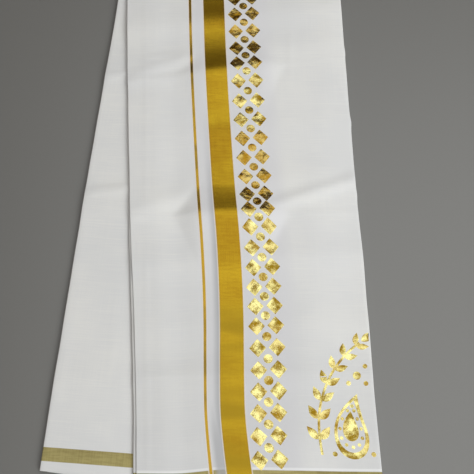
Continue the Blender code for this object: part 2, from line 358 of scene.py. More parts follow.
REAR_CREASES = (
    Crease(-0.1271, -0.1347, -0.1081, -0.1347, 0.00030, 0.0018),
    Crease(-0.1293, -0.1637, -0.1000, -0.1614, 0.00130, 0.0042),
    Crease(-0.1435, -0.3109, -0.0880, -0.3060, 0.00150, 0.0046),
    Crease(-0.1034, -0.4217, -0.1053, -0.5184, 0.00022, 0.0022),
    Crease(-0.1030, -0.5210, -0.0975, -0.5200, 0.00045, 0.0012),
    Crease(-0.1400, -0.3450, -0.1600, -0.5600, 0.00020, 0.0026),
    Crease(-0.1090, 0.2600, -0.0900, 0.2650, 0.00030, 0.0022),
)


def smooth_step(amount: float) -> float:
    """Ease from 0 to 1 as amount goes from 0 to 1."""
    held = min(max(amount, 0.0), 1.0)
    return held * held * (3.0 - 2.0 * held)


class Curve:
    """A smooth curve through one column of a table."""

    def __init__(self, rows: Sequence[NamedTuple], column: str) -> None:
        """Read the column, and the curve's slope at each row.

        Args:
            rows: The table, in order of its first column, which the curve runs along.
            column: The name of the column that it gives.
        """
        self.keys = [row[0] for row in rows]
        self.values = [getattr(row, column) for row in rows]
        last = len(rows) - 1
        self.slopes = []
        for index in range(last + 1):
            before, after = max(index - 1, 0), min(index + 1, last)
            rise = self.values[after] - self.values[before]
            self.slopes.append(rise / (self.keys[after] - self.keys[before]))

    def __call__(self, place: float) -> float:
        """Give the curve's value.

        Args:
            place: Where along the first column to read it.

        Returns:
            The value there, held at the ends of the table.
        """
        index = min(max(bisect_right(self.keys, place) - 1, 0), len(self.keys) - 2)
        span = self.keys[index + 1] - self.keys[index]
        t = min(max((place - self.keys[index]) / span, 0.0), 1.0)
        rise = (self.values[index + 1] - self.values[index]) * t * t * (3.0 - 2.0 * t)
        leave = self.slopes[index] * span * t * (1.0 - t) * (1.0 - t)
        arrive = self.slopes[index + 1] * span * t * t * (1.0 - t)
        return self.values[index] + rise + leave - arrive


def hem(*points: tuple[float, float]) -> Curve:
    """Make a hem's curve from pairs of a place across, from 0 to 1, and a y."""
    return Curve([HemPoint(*point) for point in points], "y")


def ridge_share(ridge: Ridge, x: float) -> float:
    """Work out how much of its size a ridge keeps.

    Args:
        ridge: The ridge.
        x: The place across the strip.

    Returns:
        Its share there: 1 near the gold band, fading to its left or right share.
    """
    to_left = smooth_step((RIDGE_LEFT_X - x) / RIDGE_FADE)
    to_right = smooth_step((x - RIDGE_RIGHT_X) / RIDGE_FADE)
    return 1.0 - (1.0 - ridge.left) * to_left - (1.0 - ridge.right) * to_right


def ridge_lift(ridges: Sequence[Ridge], x: float, y: float) -> float:
    """Work out how far a set of ridges lifts the cloth.

    Args:
        ridges: The ridges that cross the cloth.
        x: The place across the strip.
        y: The place along the strip.

    Returns:
        The lift, with each crest rounded over a few millimetres.
    """
    lift = 0.0
    for ridge in ridges:
        past = y - ridge.y - ridge.lean * (x - RIDGE_LINE_X)
        share = ridge_share(ridge, x)
        side = share * (ridge.far if past > 0.0 else ridge.near)
        rounding = share * ridge.rounding
        away = math.hypot(past, rounding) - rounding
        if away < side:
            lift += share * ridge.height * (1.0 - away / side) ** ridge.bend
    return lift


def crease_lift(creases: Sequence[Crease], x: float, y: float) -> float:
    """Work out how far the fine creases lift or press the cloth.

    Args:
        creases: The creases in the cloth.
        x: The place across the strip.
        y: The place along the strip.

    Returns:
        The lift, which fades towards both ends of each crease.
    """
    lift = 0.0
    for crease in creases:
        run_x = crease.end_x - crease.start_x
        run_y = crease.end_y - crease.start_y
        length = math.hypot(run_x, run_y)
        off_x, off_y = x - crease.start_x, y - crease.start_y
        aside = (off_x * run_y - off_y * run_x) / length / crease.width
        along = (off_x * run_x + off_y * run_y) / length / length
        past_start, before_end = along + CREASE_OVERRUN, 1.0 + CREASE_OVERRUN - along
        if abs(aside) < CREASE_REACH and min(past_start, before_end) > 0.0:
            ends = smooth_step(past_start / CREASE_FADE) * smooth_step(before_end / CREASE_FADE)
            lift += crease.height * ends * math.exp(-aside * aside)
    return lift


def waver(x: float, y: float) -> float:
    """Give the slow unevenness that all the upper layers share, from 0 up."""
    spot = Vector((x * WAVER_SCALE, y * WAVER_SCALE, 0.0))
    return WAVER_HEIGHT * (0.5 + noise.noise(spot))


def edge_waver(y: float, side: Wander) -> float:
    """Give the small wander of a side, unlike that of any other."""
    return EDGE_WAVER * noise.noise(Vector((side.value, y * EDGE_WAVER_SCALE, 0.0)))


@dataclass
class Lay:
    """How the strip lies: the sides of its panels, and the height of each."""

    front_edge: Curve = Curve(FRONT_EDGES, "left")
    front_fold: Curve = Curve(FRONT_EDGES, "right")
    proud: Curve = Curve(FRONT_EDGES, "second_proud")
    rear_fold: Curve = Curve(REAR_EDGES, "left")
    rear_right: Curve = Curve(REAR_EDGES, "right")

    def front_left(self, y: float) -> float:
        """Give the cut end of the cloth, on the front panel's left."""
        return self.front_edge(y) + edge_waver(y, Wander.FRONT_LEFT)

    def front_right(self, y: float) -> float:
        """Find the outside of the front panel's right fold, with its kinks.

        Args:
            y: The place along the strip.

        Returns:
            Its x there.
        """
        side = self.front_fold(y) + edge_waver(y, Wander.FRONT_RIGHT)
        for kink in RIGHT_KINKS:
            side += kink.size * math.exp(-(((y - kink.y) / KINK_RUN) ** 2))
        return side

    def second_left(self, y: float) -> float:
        """Give the outside of the second panel's left fold."""
        return self.front_edge(y) - self.proud(y) + edge_waver(y, Wander.SECOND_LEFT)

    def second_right(self, y: float) -> float:
        """Give where the second panel meets the front panel's tuck."""
        return self.front_fold(y) - TUCK_CLEAR

    def rear_left(self, y: float) -> float:
        """Give the outside of the rear panel's left fold."""
        return self.rear_fold(y) + edge_waver(y, Wander.REAR_LEFT)

    def lower_left(self, y: float) -> float:
        """Give where the lower panel meets the rear panel's tuck."""
        return self.rear_fold(y) + TUCK_CLEAR

    def over_rear(self, x: float, y: float) -> float:
        """Give 1 where the upper group lies on the lower group, and 0 beside it."""
        return 1.0 - smooth_step((x - self.rear_right(y) - DROP_START) / DROP_RUN)

    def rear_height(self, x: float, y: float) -> float:
        """Give the middle of the rear panel's wall."""
        base = LOWEST_MIDDLE + PITCH + waver(x, y)
        return base + ridge_lift(REAR_RIDGES, x, y) + crease_lift(REAR_CREASES, x, y)

    def lower_height(self, x: float, y: float) -> float:
        """Give the middle of the lower panel's wall."""
        return LOWEST_MIDDLE + waver(x, y) + ridge_lift(REAR_RIDGES, x, y)

    def second_height(self, x: float, y: float) -> float:
        """Find the middle of the second panel's wall, over the lower group or beside it.

        Args:
            x: The place across the strip.
            y: The place along the strip.

        Returns:
            Its height there.
        """
        tuck_end = self.front_edge(y) - self.proud(y) + LONG_TUCK + GAP
        lift = 1.0 - smooth_step((x - tuck_end) / LIFT_RUN)
        group = 2 * PITCH + ridge_lift(REAR_RIDGES, x, y)
        base = LOWEST_MIDDLE + self.over_rear(x, y) * group + lift * PITCH
        return base + waver(x, y) + ridge_lift(FRONT_RIDGES, x, y)

    def front_height(self, x: float, y: float) -> float:
        """Give the middle of the front panel's wall."""
        fine = ridge_lift(FINE_RIDGES, x, y) + crease_lift(FRONT_CREASES, x, y)
        return self.second_height(x, y) + PITCH + fine


class ClothPoint(NamedTuple):
    """A point of a shell: its place, and where it lies on the flat cloth."""

    place: Vector
    across: float
    along: float


class Column(NamedTuple):
    """One column of points along a stretch: its run, and how far it lies along that run."""

    run: Run
    share: float


def map_place(across: float, along: float) -> tuple[float, float]:
    """Bring a place on the flat cloth into the unit square of the map."""
    return (across - MAP_START) / MAP_SPAN, (along - MAP_START_ALONG) / MAP_SPAN


def round_off(s: float, t: float) -> tuple[float, float]:
    """Bring a place on a square that runs from -1 to 1 each way onto a round disc."""
    return s * math.sqrt(1.0 - t * t / 2), t * math.sqrt(1.0 - s * s / 2)


@dataclass
class Stretch:
    """One stretch of the cloth: a thin shell, with at most one side folded under.

    Its sides are read along the strip, its hems across the panel, and its height at a place.
    Its points lie about column_run and row_run apart, and those of a tuck tuck_run apart.
    """

    name: str
    slot: str
    nodes: tuple[str, ...]
    left: Callable[[float], float]
    right: Callable[[float], float]
    height: Callable[[float, float], float]
    near_hem: Curve
    far_hem: Curve
    column_run: float
    row_run: float
    fold: Side = Side.NONE
    tuck: float = 0.0
    tuck_run: float = 0.006
    shell: float = SHELL
    ridges: tuple[Ridge, ...] = ()
    rests_on: tuple[str, ...] = ()

    def layer_drop(self, x: float, y: float) -> float:
        """Give how far the tucked layer lies below the panel."""
        return PITCH

    def across_at(self, x: float, y: float) -> float:
        """Give where a place on the panel lies across the flat cloth."""
        return x - self.left(y)

    def columns(self) -> list[Column]:
        """Share out the columns of points.

        Returns:
            The columns, in order from left to right over the top.
        """
        width = self.right(0.0) - self.left(0.0)
        flat_steps = math.ceil(width / self.column_run)
        found = [Column(Run.FLAT, step / flat_steps) for step in range(flat_steps + 1)]
        if self.fold is not Side.NONE:
            for step in range(1, FOLD_STEPS + 1):
                found.append(Column(Run.FOLD, step / FOLD_STEPS))
            tuck_steps = math.ceil(self.tuck / self.tuck_run)
            for step in range(1, tuck_steps + 1):
                found.append(Column(Run.TUCK, step / tuck_steps))
        if self.fold is Side.LEFT:
            found.reverse()
        return found

    def turn(self, y: float) -> tuple[float, float]:
        """Find where the flat run ends and the fold begins.

        Args:
            y: The place along the strip.

        Returns:
            The x where the fold begins, and the fold's radius.
        """
        side = self.fold.value
        folded = self.left(y) if self.fold is Side.LEFT else self.right(y)
        radius = self.layer_drop(folded, y) / 2
        return folded - side * (self.shell / 2 + radius), radius

    def place_column(self, column: Column, y: float) -> tuple[float, float, float, float]:
        """Place one column at one y.

        Args:
            column: The column of points.
            y: The place along the strip.

        Returns:
            Its x, the x where its height is read, its drop, and its place across the cloth.
        """
        flat_end, radius = self.turn(y)
        side = self.fold.value
        free = self.right(y) if self.fold is Side.LEFT else self.left(y)
        if self.fold is Side.NONE:
            flat_end = self.right(y)
        if column.run is Run.FLAT:
            x = free + (flat_end - free) * column.share
            return x, x, 0.0, self.across_at(x, y)
        start = self.across_at(flat_end, y)
        if column.run is Run.FOLD:
            angle = math.pi * column.share
            x = flat_end + side * radius * math.sin(angle)
            drop = radius * (1.0 - math.cos(angle))
            return x, flat_end, drop, start + side * radius * angle
        reach = self.tuck * column.share
        x = flat_end - side * reach
        return x, x, self.layer_drop(x, y), start + side * (math.pi * radius + reach)

    def hems_at(self, x: float, y: float) -> tuple[float, float]:
        """Find both hems at one place across the panel.

        Args:
            x: The place across the strip.
            y: Where along the strip the panel's sides are read.

        Returns:
            The y of the near hem and of the far hem.
        """
        left = self.left(y)
        share = (x - left) / (self.right(y) - left)
        return self.near_hem(share), self.far_hem(share)

    def lean(self, y: float) -> float:
        """Find how far the rows of points lean, so that they follow the ridges.

        Args:
            y: The place along the strip.

        Returns:
            The lean there, as a slope.
        """
        known = [(NEAR_END, 0.0), *((r.y, r.lean) for r in self.ridges), (FAR_END, 0.0)]
        for (before_y, before), (after_y, after) in zip(known, known[1:]):
            if y <= after_y:
                return before + (after - before) * (y - before_y) / (after_y - before_y)
        return 0.0

    def stations(self) -> list[float]:
        """Share out the rows of points, with one on each ridge's crest.

        Returns:
            The rows' places along the strip.
        """
        marks = [self.near_hem(0.5), *(r.y for r in self.ridges), self.far_hem(0.5)]
        found = [marks[0]]
        for before, after in zip(marks, marks[1:]):
            steps = math.ceil((after - before) / self.row_run)
            for step in range(1, steps + 1):
                found.append(before + (after - before) * step / steps)
        return found

    def row(self, station: float, columns: list[Column]) -> list[ClothPoint]:
        """Place one row of points across the stretch.

        Args:
            station: The row's place along the strip.
            columns: The columns of points.

        Returns:
            The row's points, from left to right over the top.
        """
        near_mid, far_mid = self.near_hem(0.5), self.far_hem(0.5)
        near_share = 1.0 - smooth_step((station - near_mid) / HEM_RUN)
        far_share = 1.0 - smooth_step((far_mid - station) / HEM_RUN)
        lean = self.lean(station)
        points = []
        for column in columns:
            guess = self.place_column(column, station)[0]
            near, far = self.hems_at(guess, station)
            y = station + lean * (guess - RIDGE_LINE_X) * (1.0 - near_share) * (1.0 - far_share)
            y += (near - near_mid) * near_share + (far - far_mid) * far_share
            x, height_x, drop, across = self.place_column(column, y)
            along = CLOTH_WIDTH * (y - near) / (far - near)
            z = self.height(height_x, y) - drop
            points.append(ClothPoint(Vector((x, y, z)), across, along))
        return points

    def build(self, material: bpy.types.Material) -> bpy.types.Object:
        """Lay a grid over the stretch's form, map it, and give it its wall and its finish.

        Args:
            material: The finish.

        Returns:
            The shell, on the part's one body and in place of its solids.
        """
        columns = self.columns()
        points = [point for y in self.stations() for point in self.row(y, columns)]
        shape = bmesh.new()
        flat = shape.loops.layers.uv.new(FLAT_MAP)
        rows = len(points) // len(columns)
        bmesh.ops.create_grid(shape, x_segments=len(columns) - 1, y_segments=rows - 1, size=1.0)
        for vertex, point in zip(shape.verts, points):
            vertex.co = point.place
        for face in shape.faces:
            for loop in face.loops:
                point = points[loop.vert.index]
                loop[flat].uv = map_place(point.across, point.along)
        piece = finish_mesh(self.name, shape)
        add_wall(piece, self.shell, 0.0)
        piece.data.materials.append(material)
        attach(piece, ROOT)
        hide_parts(*self.nodes)
        return piece


@dataclass
class BorderedStretch(Stretch):
    """The front panel, whose flat map follows the woven gold band."""

    band: Curve = Curve(BAND_EDGES, "x")
    settle_rounds: int = 3

    def across_at(self, x: float, y: float) -> float:
        """Find where a place on the panel lies across the flat cloth.

        Args:
            x: The place across the strip.
            y: The place along the strip.

        Returns:
            The place from the cloth's cut end.
        """
        band = self.band(y)
        if x > band:
            return BAND_START + x - band
        left = self.left(y)
        return BAND_START * (x - left) / (band - left)

    def lay_on(self, across: float, along: float, lift: float) -> Vector:
        """Find where a place on the flat cloth comes to lie.

        Args:
            across: The place across the cloth, from its cut end.
            along: The place along the cloth, from its near hem.
            lift: How far above the cloth's face the point stands.

        Returns:
            The point on the panel, or on its right fold, where the cloth turns under.
        """
        y = self.near_hem(0.5) + along
        for _ in range(self.settle_rounds):
            band, left = self.band(y), self.left(y)
            x = left + across / BAND_START * (band - left)
            if across > BAND_START:
                x = band + across - BAND_START
            near, far = self.hems_at(x, y)
            y = near + (far - near) * along / CLOTH_WIDTH
        flat_end, radius = self.turn(y)
        out = self.shell / 2 + lift
        if x <= flat_end:
            return Vector((x, y, self.height(x, y) + out))
        angle = min((x - flat_end) / radius, math.pi)
        under = x - flat_end - radius * angle
        x = flat_end + (radius + out) * math.sin(angle) - under
        z = self.height(flat_end, y) - radius + (radius + out) * math.cos(angle)
        return Vector((x, y, z))


@dataclass
class FoldedPair(Stretch):
    """Two hidden layers joined by a fold, which spread apart where nothing presses them."""

    column_run: float = 0.0100
    row_run: float = 0.0120
    tuck_run: float = 0.0200
    shell: float = HIDDEN_SHELL
    pressed: Callable[[float, float], float] = lambda x, y: 1.0

    def layer_drop(self, x: float, y: float) -> float:
        """Give how far the pair's lower layer lies below its upper one."""
        return HIDDEN_PITCH * (PAIR_LAYERS - self.pressed(x, y))


def finish_mesh(name: str, shape: bmesh.types.BMesh) -> bpy.types.Object:
    """Make a smooth object of a bmesh, at the origin.

    Args:
        name: The object's name.
        shape: The bmesh, which is freed.

    Returns:
        The object, linked to the scene.
    """
    mesh = bpy.data.meshes.new(name)
    shape.to_mesh(mesh)
    shape.free()
    mesh.shade_smooth()
    piece = bpy.data.objects.new(name, mesh)
    bpy.context.scene.collection.objects.link(piece)
    return piece


def add_wall(piece: bpy.types.Object, thickness: float, offset: float) -> None:
    """Thicken an open sheet.

    Args:
        piece: The sheet, which becomes solid.
        thickness: Its thickness.
        offset: Where the sheet stays in its wall: 0 in the middle, and -1 at the bottom.
    """
    wall = piece.modifiers.new("wall", "SOLIDIFY")
    wall.thickness = thickness
    wall.offset = offset
    wall.use_even_offset = False
    solid = bpy.data.meshes.new_from_object(
        piece.evaluated_get(bpy.context.evaluated_depsgraph_get())
    )
    solid.set_sharp_from_angle(angle=SHARP_ANGLE)
    piece.modifiers.clear()
    piece.data = solid
    solid.name = piece.name


@dataclass
class FoldedCloth:
    """The whole folded strip: the four stretches that show, and the hidden layers."""

    lay: Lay = field(default_factory=Lay)

    def front(self) -> BorderedStretch:
        """Set out the front panel: the cloth's cut end on its left, a fold on its right.

        Returns:
            The front panel.
        """
        return BorderedStretch(
            name="front_cloth",
            slot="bordered_cotton",
            nodes=("front_panel",),
            left=self.lay.front_left,
            right=self.lay.front_right,
            height=self.lay.front_height,
            near_hem=hem(
                (0.00, NEAR_END),
                (0.17, -0.6400),
                (0.34, -0.6363),
                (0.46, -0.6364),
                (0.64, -0.6372),
                (1.00, -0.6382),
            ),
            far_hem=hem((0.0, 0.6300), (1.0, 0.6320)),
            column_run=0.0030,
            row_run=0.0033,
            fold=Side.RIGHT,
            tuck=SHORT_TUCK,
            ridges=FRONT_RIDGES,
            rests_on=("second_cloth",),
        )

    def second(self) -> Stretch:
        """Set out the panel under the front one, with a fold on its left.

        Returns:
            The second panel.
        """
        return Stretch(
            name="second_cloth",
            slot="plain_cotton",
            nodes=("second_panel",),
            left=self.lay.second_left,
            right=self.lay.second_right,
            height=self.lay.second_height,
            near_hem=hem((0.0, -0.6396), (1.0, -0.6375)),
            far_hem=hem((0.0, FAR_END), (1.0, 0.6320)),
            column_run=0.0080,
            row_run=0.0070,
            fold=Side.LEFT,
            tuck=LONG_TUCK,
            ridges=FRONT_RIDGES,
            rests_on=("rear_cloth", "hidden_right"),
        )

    def rear(self) -> Stretch:
        """Set out the top panel of the lower group, with a fold on its left.

        Returns:
            The rear panel.
        """
        return Stretch(
            name="rear_cloth",
            slot="striped_cotton",
            nodes=("rear_panel",),
            left=self.lay.rear_left,
            right=self.lay.rear_right,
            height=self.lay.rear_height,
            near_hem=hem((0.0, -0.6130), (1.0, -0.6315)),
            far_hem=hem((0.0, 0.6320), (1.0, 0.6280)),
            column_run=0.0040,
            row_run=0.0050,
            fold=Side.LEFT,
            tuck=SHORT_TUCK,
            ridges=REAR_RIDGES,
            rests_on=("lower_cloth",),
        )

    def lower(self) -> Stretch:
        """Set out the panel under the rear one, which shows below its hem.

        Returns:
            The lower panel.
        """
        return Stretch(
            name="lower_cloth",
            slot="plain_cotton",
            nodes=("lower_panel",),
            left=self.lay.lower_left,
            right=self.lay.rear_right,
            height=self.lay.lower_height,
            near_hem=hem((0.0, -0.6139), (0.4, -0.6255), (1.0, -0.6340)),
            far_hem=hem((0.0, 0.6290), (1.0, 0.6310)),
            column_run=0.0090,
            row_run=0.0090,
            ridges=REAR_RIDGES,
            rests_on=("hidden_left", "hidden_right"),
        )

    def hidden_left(self) -> FoldedPair:
        """Set out the lower group's two hidden layers, folded on the left.

        Returns:
            The pair of layers.
        """

        def pressed(x: float, y: float) -> float:
            """Give 1 where the upper group presses the pair, and 0 beside it."""
            return smooth_step((x - self.lay.front_edge(y) + PRESS_START) / PRESS_RUN)

        def height(x: float, y: float) -> float:
            """Give the middle of the upper layer's wall."""
            return HIDDEN_PITCH * PAIR_MIDDLE * (PAIR_LAYERS - pressed(x, y))

        def left(y: float) -> float:
            """Give the outside of the pair's fold, a little inside the rear panel's."""
            wander = PAIR_WANDER * edge_waver(y, Wander.HIDDEN_LEFT)
            return self.lay.rear_fold(y) + LEFT_PAIR_FOLD_IN + wander

        return FoldedPair(
            name="hidden_left",
            slot="plain_cotton",
            nodes=("folded_layers",),
            left=left,
            right=lambda y: self.lay.rear_right(y) - LEFT_PAIR_END_IN,
            height=height,
            near_hem=hem((0.0, -0.6092), (1.0, -0.6255)),
            far_hem=hem((0.0, 0.6262), (1.0, 0.6240)),
            fold=Side.LEFT,
            tuck=0.2320,
            pressed=pressed,
        )

    def hidden_right(self) -> FoldedPair:
        """Set out the upper group's two hidden layers, folded on the right.

        Returns:
            The pair of layers.
        """

        def height(x: float, y: float) -> float:
            """Give the middle of the upper layer's wall, over the lower group or beside it."""
            share = self.lay.over_rear(x, y)
            return HIDDEN_PITCH * (PAIR_MIDDLE * (PAIR_LAYERS - share) + PAIR_LAYERS * share)

        def right(y: float) -> float:
            """Give the outside of the pair's fold, a little inside the front panel's."""
            wander = PAIR_WANDER * edge_waver(y, Wander.HIDDEN_RIGHT)
            return self.lay.front_fold(y) - RIGHT_PAIR_FOLD_IN + wander

        return FoldedPair(
            name="hidden_right",
            slot="plain_cotton",
            nodes=("folded_layers",),
            left=lambda y: self.lay.front_edge(y) + RIGHT_PAIR_END_IN,
            right=right,
            height=height,
            near_hem=hem((0.0, -0.6240), (1.0, -0.6334)),
            far_hem=hem((0.0, 0.6250), (1.0, 0.6268)),
            fold=Side.RIGHT,
            tuck=0.2260,
            pressed=self.lay.over_rear,
            rests_on=("hidden_left",),
        )


class PrintShift(NamedTuple):
    """How far the print has crept on the cloth, at one row of its repeat."""

    row: float
    across: float
    along: float


PRINT_SHIFTS = (
    PrintShift(row=0.0, across=-0.0042, along=0.0000),
    PrintShift(row=1.0, across=-0.0020, along=0.0014),
    PrintShift(row=2.0, across=0.0003, along=0.0024),
    PrintShift(row=4.0, across=0.0017, along=0.0024),
    PrintShift(row=6.0, across=0.0000, along=0.0050),
    PrintShift(row=8.0, across=-0.0009, along=0.0036),
    PrintShift(row=10.0, across=-0.0009, along=0.0034),
    PrintShift(row=11.0, across=-0.0009, along=0.0045),
    PrintShift(row=12.0, across=-0.0007, along=0.0027),
    PrintShift(row=13.0, across=-0.0006, along=-0.0006),
    PrintShift(row=14.5, across=-0.0007, along=-0.0003),
    PrintShift(row=16.0, across=-0.0008, along=0.0023),
    PrintShift(row=18.0, across=-0.0009, along=0.0053),
    PrintShift(row=19.5, across=-0.0009, along=0.0096),
    PrintShift(row=21.0, across=-0.0009, along=0.0088),
    PrintShift(row=23.0, across=-0.0009, along=0.0107),
)


class Spot(NamedTuple):
    """A place on the flat cloth, across and along it."""

    across: float
    along: float


@dataclass
class PressedFoil:
    """Gold foil pressed on the front panel, cut as small tiles in the plane of the cloth."""

    panel: BorderedStretch
    lift: float = 0.00009
    film: float = 0.00007
    dot_steps: int = 6
    shape: bmesh.types.BMesh = field(default_factory=bmesh.new)

    def add_tile(self, steps: tuple[int, int], spread: Callable[[float, float], Spot]) -> None:
        """Add a flat tile of foil.

        Args:
            steps: How many faces the tile has each way.
            spread: Gives a point's place on the cloth from its place on the tile's
                grid, which runs from -1 to 1 each way.
        """
        grid = bmesh.ops.create_grid(
            self.shape, x_segments=steps[0], y_segments=steps[1], size=1.0
        )
        for vertex in grid["verts"]:
            vertex.co = (*spread(vertex.co.x, vertex.co.y), 0.0)

    def add_dot(self, middle: Spot, size: float) -> None:
        """Add one round dot.

        Args:
            middle: Where its middle lies.
            size: Its diameter.
        """

        def spread(s: float, t: float) -> Spot:
            """Bring the tile's grid onto the dot."""
            wide, tall = round_off(s, t)
            return Spot(middle.across + wide * size / 2, middle.along + tall * size / 2)

        self.add_tile((self.dot_steps, self.dot_steps), spread)

    def press(self, name: str, material: bpy.types.Material) -> bpy.types.Object:
        """Lay the flat foil on the front panel, and give it its thickness and its finish.

        Args:
            name: The piece's name.
            material: The finish.

        Returns:
            The foil, on the part's one body.
        """
        bmesh.ops.remove_doubles(self.shape, verts=self.shape.verts, dist=self.film / 4)
        self.shape.normal_update()
        turned = [face for face in self.shape.faces if face.normal.z < 0.0]
        bmesh.ops.reverse_faces(self.shape, faces=turned)
        flat = self.shape.loops.layers.uv.new(FLAT_MAP)
        for face in self.shape.faces:
            for loop in face.loops:
                loop[flat].uv = map_place(loop.vert.co.x, loop.vert.co.y)
        for vertex in self.shape.verts:
            vertex.co = self.panel.lay_on(vertex.co.x, vertex.co.y, self.lift)
        piece = finish_mesh(name, self.shape)
        add_wall(piece, self.film, -1.0)
        piece.data.materials.append(material)
        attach(piece, ROOT)
        return piece


@dataclass
class BorderRepeat(PressedFoil):
    """Two columns of diamonds beside the gold band, with a column of dots between them."""

    columns: tuple[float, float] = (0.1290, 0.1495)
    first_row: float = 0.0340
    row_pitch: float = 0.02225
    diamond: tuple[float, float] = (0.0179, 0.0198)
    dot: float = 0.0097
    row_tilt: float = 0.073
    turn: float = 0.050
    steps: int = 9
    corner_pull: float = 0.02
    corner_power: int = 4
    creep_across: Curve = Curve(PRINT_SHIFTS, "across")
    creep_along: Curve = Curve(PRINT_SHIFTS, "along")

    def build(self, material: bpy.types.Material) -> bpy.types.Object:
        """Make every row of the repeat, from hem to hem.

        Args:
            material: The finish.

        Returns:
            The foil.
        """
        middle = sum(self.columns) / 2
        rows = int((CLOTH_WIDTH - 2 * self.first_row) / self.row_pitch)
        for row in range(rows):
            for across in self.columns:
                self.add_diamond(self.spot(row, across))
            if row < rows - 1:
                self.add_dot(self.spot(row + 0.5, middle), self.dot)
        return self.press("foil_repeat", material)

    def spot(self, row: float, across: float) -> Spot:
        """Find where a mark of the repeat lies.

        Args:
            row: Its row, from 0 at the near hem.
            across: Its column, as a place across the cloth.

        Returns:
            Its place on the flat cloth, with the rows' tilt and the print's creep.
        """
        tilt = self.row_tilt * (across - sum(self.columns) / 2)
        along = self.first_row + row * self.row_pitch + tilt
        return Spot(across + self.creep_across(row), along + self.creep_along(row))

    def add_diamond(self, middle: Spot) -> None:
        """Add one diamond.

        Args:
            middle: Where its middle lies.
        """
        turn = Matrix.Rotation(self.turn, 2)

        def spread(s: float, t: float) -> Spot:
            """Bring the tile's grid onto the diamond.

            Args:
                s: The place on the grid one way, from -1 to 1.
                t: The place the other way.

            Returns:
                The place on the flat cloth.
            """
            pull = 1.0 - self.corner_pull * (s * t) ** self.corner_power
            wide = self.diamond[0] / 2 * (s - t) / 2 * pull
            tall = self.diamond[1] / 2 * (s + t) / 2 * pull
            placed = turn @ Vector((wide, tall))
            return Spot(middle.across + placed.x, middle.along + placed.y)

        self.add_tile((self.steps, self.steps), spread)


